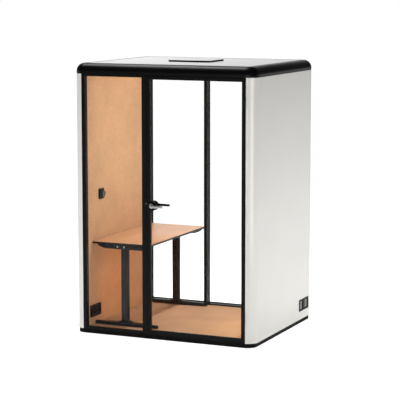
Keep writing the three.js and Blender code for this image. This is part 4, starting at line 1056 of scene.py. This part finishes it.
class POD_OT_stage(bpy.types.Operator):
    """Floor, even light, lamps and camera."""
    bl_idname = "pod.stage"
    bl_label = "Stage"

    def execute(self, context):
        stage = context.scene.pod_stage
        context.scene.view_settings.view_transform = "Standard"
        self.floor(stage)
        self.world(context, stage)
        self.lamps(context, stage)
        self.camera(context, stage)
        return {"FINISHED"}

    def floor(self, stage):
        """Round level sheet. What the camera sees of it is lifted to white, and keeps the shadow. Reflections
        see it bright behind the pod, and dim on the camera's side."""
        turn = full_turn(96)
        reach = 60.0
        rim = np.stack([reach * np.cos(turn), reach * np.sin(turn), np.full(len(turn), -0.0005)], axis=-1)
        mesh = bpy.data.meshes.new("studio_floor")
        mesh.from_pydata(rim.tolist(), [], [list(range(len(turn)))])
        sheet = bpy.data.objects.new("studio_floor", mesh)
        bpy.context.scene.collection.objects.link(sheet)
        paint = bpy.data.materials.new("studio_floor")
        paint.use_nodes = True
        tree = paint.node_tree
        tree.nodes.clear()
        shader = tree.nodes.new("ShaderNodeBsdfPrincipled")
        shader.inputs["Base Color"].default_value = (0.82, 0.82, 0.815, 1.0)
        shader.inputs["Roughness"].default_value = 0.9
        shader.inputs["Specular IOR Level"].default_value = 0.1
        glow = tree.nodes.new("ShaderNodeEmission")
        rays = tree.nodes.new("ShaderNodeLightPath")
        place = tree.nodes.new("ShaderNodeTexCoord")
        behind = fit(tree, along_view(tree, place.outputs["Object"], stage), -2.0, 2.0, 0.12, 0.6)
        link(tree, blend(tree, looked(tree, rays), 0.0, blend(tree, mirrors(tree, rays), 0.8, behind)),
             glow.inputs["Strength"])
        both = tree.nodes.new("ShaderNodeAddShader")
        link(tree, shader.outputs["BSDF"], both.inputs[0])
        link(tree, glow.outputs["Emission"], both.inputs[1])
        output = tree.nodes.new("ShaderNodeOutputMaterial")
        link(tree, both.outputs["Shader"], output.inputs["Surface"])
        mesh.materials.append(paint)

    def world(self, context, stage):
        """Even light at the ambient strength, white where it is seen or looked through to. Reflections
        see the white backdrop behind the pod, and a dim studio on the camera's side."""
        sky = bpy.data.worlds.new("studio_light")
        context.scene.world = sky
        sky.use_nodes = True
        sky.cycles.sampling_method = "NONE"
        tree = sky.node_tree
        tree.nodes.clear()
        even = tree.nodes.new("ShaderNodeBackground")
        even.inputs["Color"].default_value = (1.0, 1.0, 1.0, 1.0)
        rays = tree.nodes.new("ShaderNodeLightPath")
        place = tree.nodes.new("ShaderNodeTexCoord")
        backdrop = fit(tree, along_view(tree, place.outputs["Object"], stage), 0.88, 0.98, 0.05, 1.0)
        white = blend(tree, mirrors(tree, rays), 1.0, backdrop)
        link(tree, blend(tree, looked(tree, rays), stage.ambient, white), even.inputs["Strength"])
        output = tree.nodes.new("ShaderNodeOutputWorld")
        link(tree, even.outputs["Background"], output.inputs["Surface"])

    def lamps(self, context, stage):
        """Area lamps: front right, overhead, low right, a strip at the right, low left, the pod's own lamp,
        a warm glow inside it, and what its carpet and ceiling throw on the left wall."""
        bar_low, bar_high = span("light_bar")
        bar = (bar_low + bar_high) / 2
        warm = {"glow": (1.0, 0.9, 0.45), "carpet": (1.0, 0.25, 0.04)}
        for name, power, size, place, aim in (
                ("key", stage.key, (4.0, 1.6), (1.6, -6.0, 0.85), (0.0, 0.0, 0.8)),
                ("top", stage.top, (2.2, 2.2), (-1.4, 0.3, 5.2), (-0.3, 0.0, 1.0)),
                ("bounce", stage.bounce, (4.0, 0.8), (2.7, 0.2, 0.55), (0.8, 0.1, 0.6)),
                ("rim", stage.rim, (2.4, 3.0), (4.1, -2.9, 1.3), (0.75, -0.65, 1.1)),
                ("fill", stage.fill, (2.4, 0.7), (-2.6, -3.2, 0.4), (-0.6, -0.6, 0.7)),
                ("lamp", stage.lamp, (0.06, 0.8), (bar[0], bar[1], bar_low[2] - 0.004), (bar[0], bar[1], 0.0)),
                ("glow", stage.glow, (1.1, 0.5), (0.62, -0.2, 0.34), (-0.7, -0.2, 0.38)),
                ("rear", stage.rear, (0.9, 0.7), (-0.5, 2.3, 1.9), (0.0, 0.4, 0.3)),
                ("side", stage.side, (2.5, 1.6), (-3.2, 1.4, 1.2), (-0.8, 0.3, 1.1)),
                ("carpet", stage.carpet, (0.9, 0.9), (-0.05, -0.1, 0.06), (-0.7, -0.1, 0.25)),
                ("cove", stage.cove, (1.1, 0.06), (-0.4, -0.1, 2.09), (-0.7, -0.1, 1.98))):
            data = bpy.data.lights.new(name, "AREA")
            data.shape = "RECTANGLE"
            data.size, data.size_y = size
            data.energy = power
            data.color = warm.get(name, (1.0, 1.0, 1.0))
            data.spread = math.radians(100.0 if name == "carpet" else 180.0)
            light = bpy.data.objects.new(name, data)
            context.scene.collection.objects.link(light)
            light.location = place
            way = Vector(aim) - Vector(place)
            light.rotation_euler = way.to_track_quat("-Z", "Y").to_euler()
            light.visible_camera = False
            light.visible_transmission = False
            light.visible_glossy = name in ("key", "top", "rim")
            light.visible_diffuse = name != "rim"
            if name == "rim":
                skins = bpy.data.collections.new("side_skins")
                for side in ("left", "right"):
                    skins.objects.link(bpy.data.objects[f"side_skin_{side}"])
                light.light_linking.receiver_collection = skins

    def camera(self, context, stage):
        """Camera on a sphere round its aim, level with the horizon."""
        data = bpy.data.cameras.new("camera")
        data.sensor_width = 36.0
        data.lens = stage.lens
        data.clip_end = 200.0
        view = Vector((-math.sin(stage.azimuth) * math.cos(stage.elevation),
                       math.cos(stage.azimuth) * math.cos(stage.elevation), -math.sin(stage.elevation)))
        seat = bpy.data.objects.new("camera", data)
        seat.location = Vector(stage.aim) - view * stage.distance
        seat.rotation_euler = view.to_track_quat("-Z", "Y").to_euler()
        context.scene.collection.objects.link(seat)
        context.scene.camera = seat


class POD_PT_pod(bpy.types.Panel):
    """Pod settings and the steps that build it."""
    bl_idname = "POD_PT_pod"
    bl_label = "Acoustic pod"
    bl_space_type = "VIEW_3D"
    bl_region_type = "UI"
    bl_category = "Pod"

    def draw(self, context):
        layout = self.layout
        for step in STEPS:
            layout.operator(step.bl_idname)
        for group in ("pod_finishes", "pod_fittings", "pod_stage"):
            box = layout.box()
            settings = getattr(context.scene, group)
            for name in settings.__annotations__:
                box.prop(settings, name)


STEPS = (POD_OT_finishes, POD_OT_roof_edge, POD_OT_side_shells, POD_OT_vent, POD_OT_gaskets, POD_OT_levers,
         POD_OT_roses, POD_OT_control, POD_OT_outlets, POD_OT_desk, POD_OT_hinges, POD_OT_stage)
GROUPS = {"pod_finishes": PodFinishes, "pod_fittings": PodFittings, "pod_stage": PodStage}


def register():
    for kind in (*GROUPS.values(), *STEPS, POD_PT_pod):
        bpy.utils.register_class(kind)
    for name, kind in GROUPS.items():
        setattr(bpy.types.Scene, name, PointerProperty(type=kind))


def unregister():
    for name in GROUPS:
        delattr(bpy.types.Scene, name)
    for kind in (POD_PT_pod, *reversed(STEPS), *GROUPS.values()):
        bpy.utils.unregister_class(kind)


def main():
    register()
    for step in STEPS:
        group, name = step.bl_idname.split(".")
        getattr(getattr(bpy.ops, group), name)()


if __name__ == "__main__":
    main()
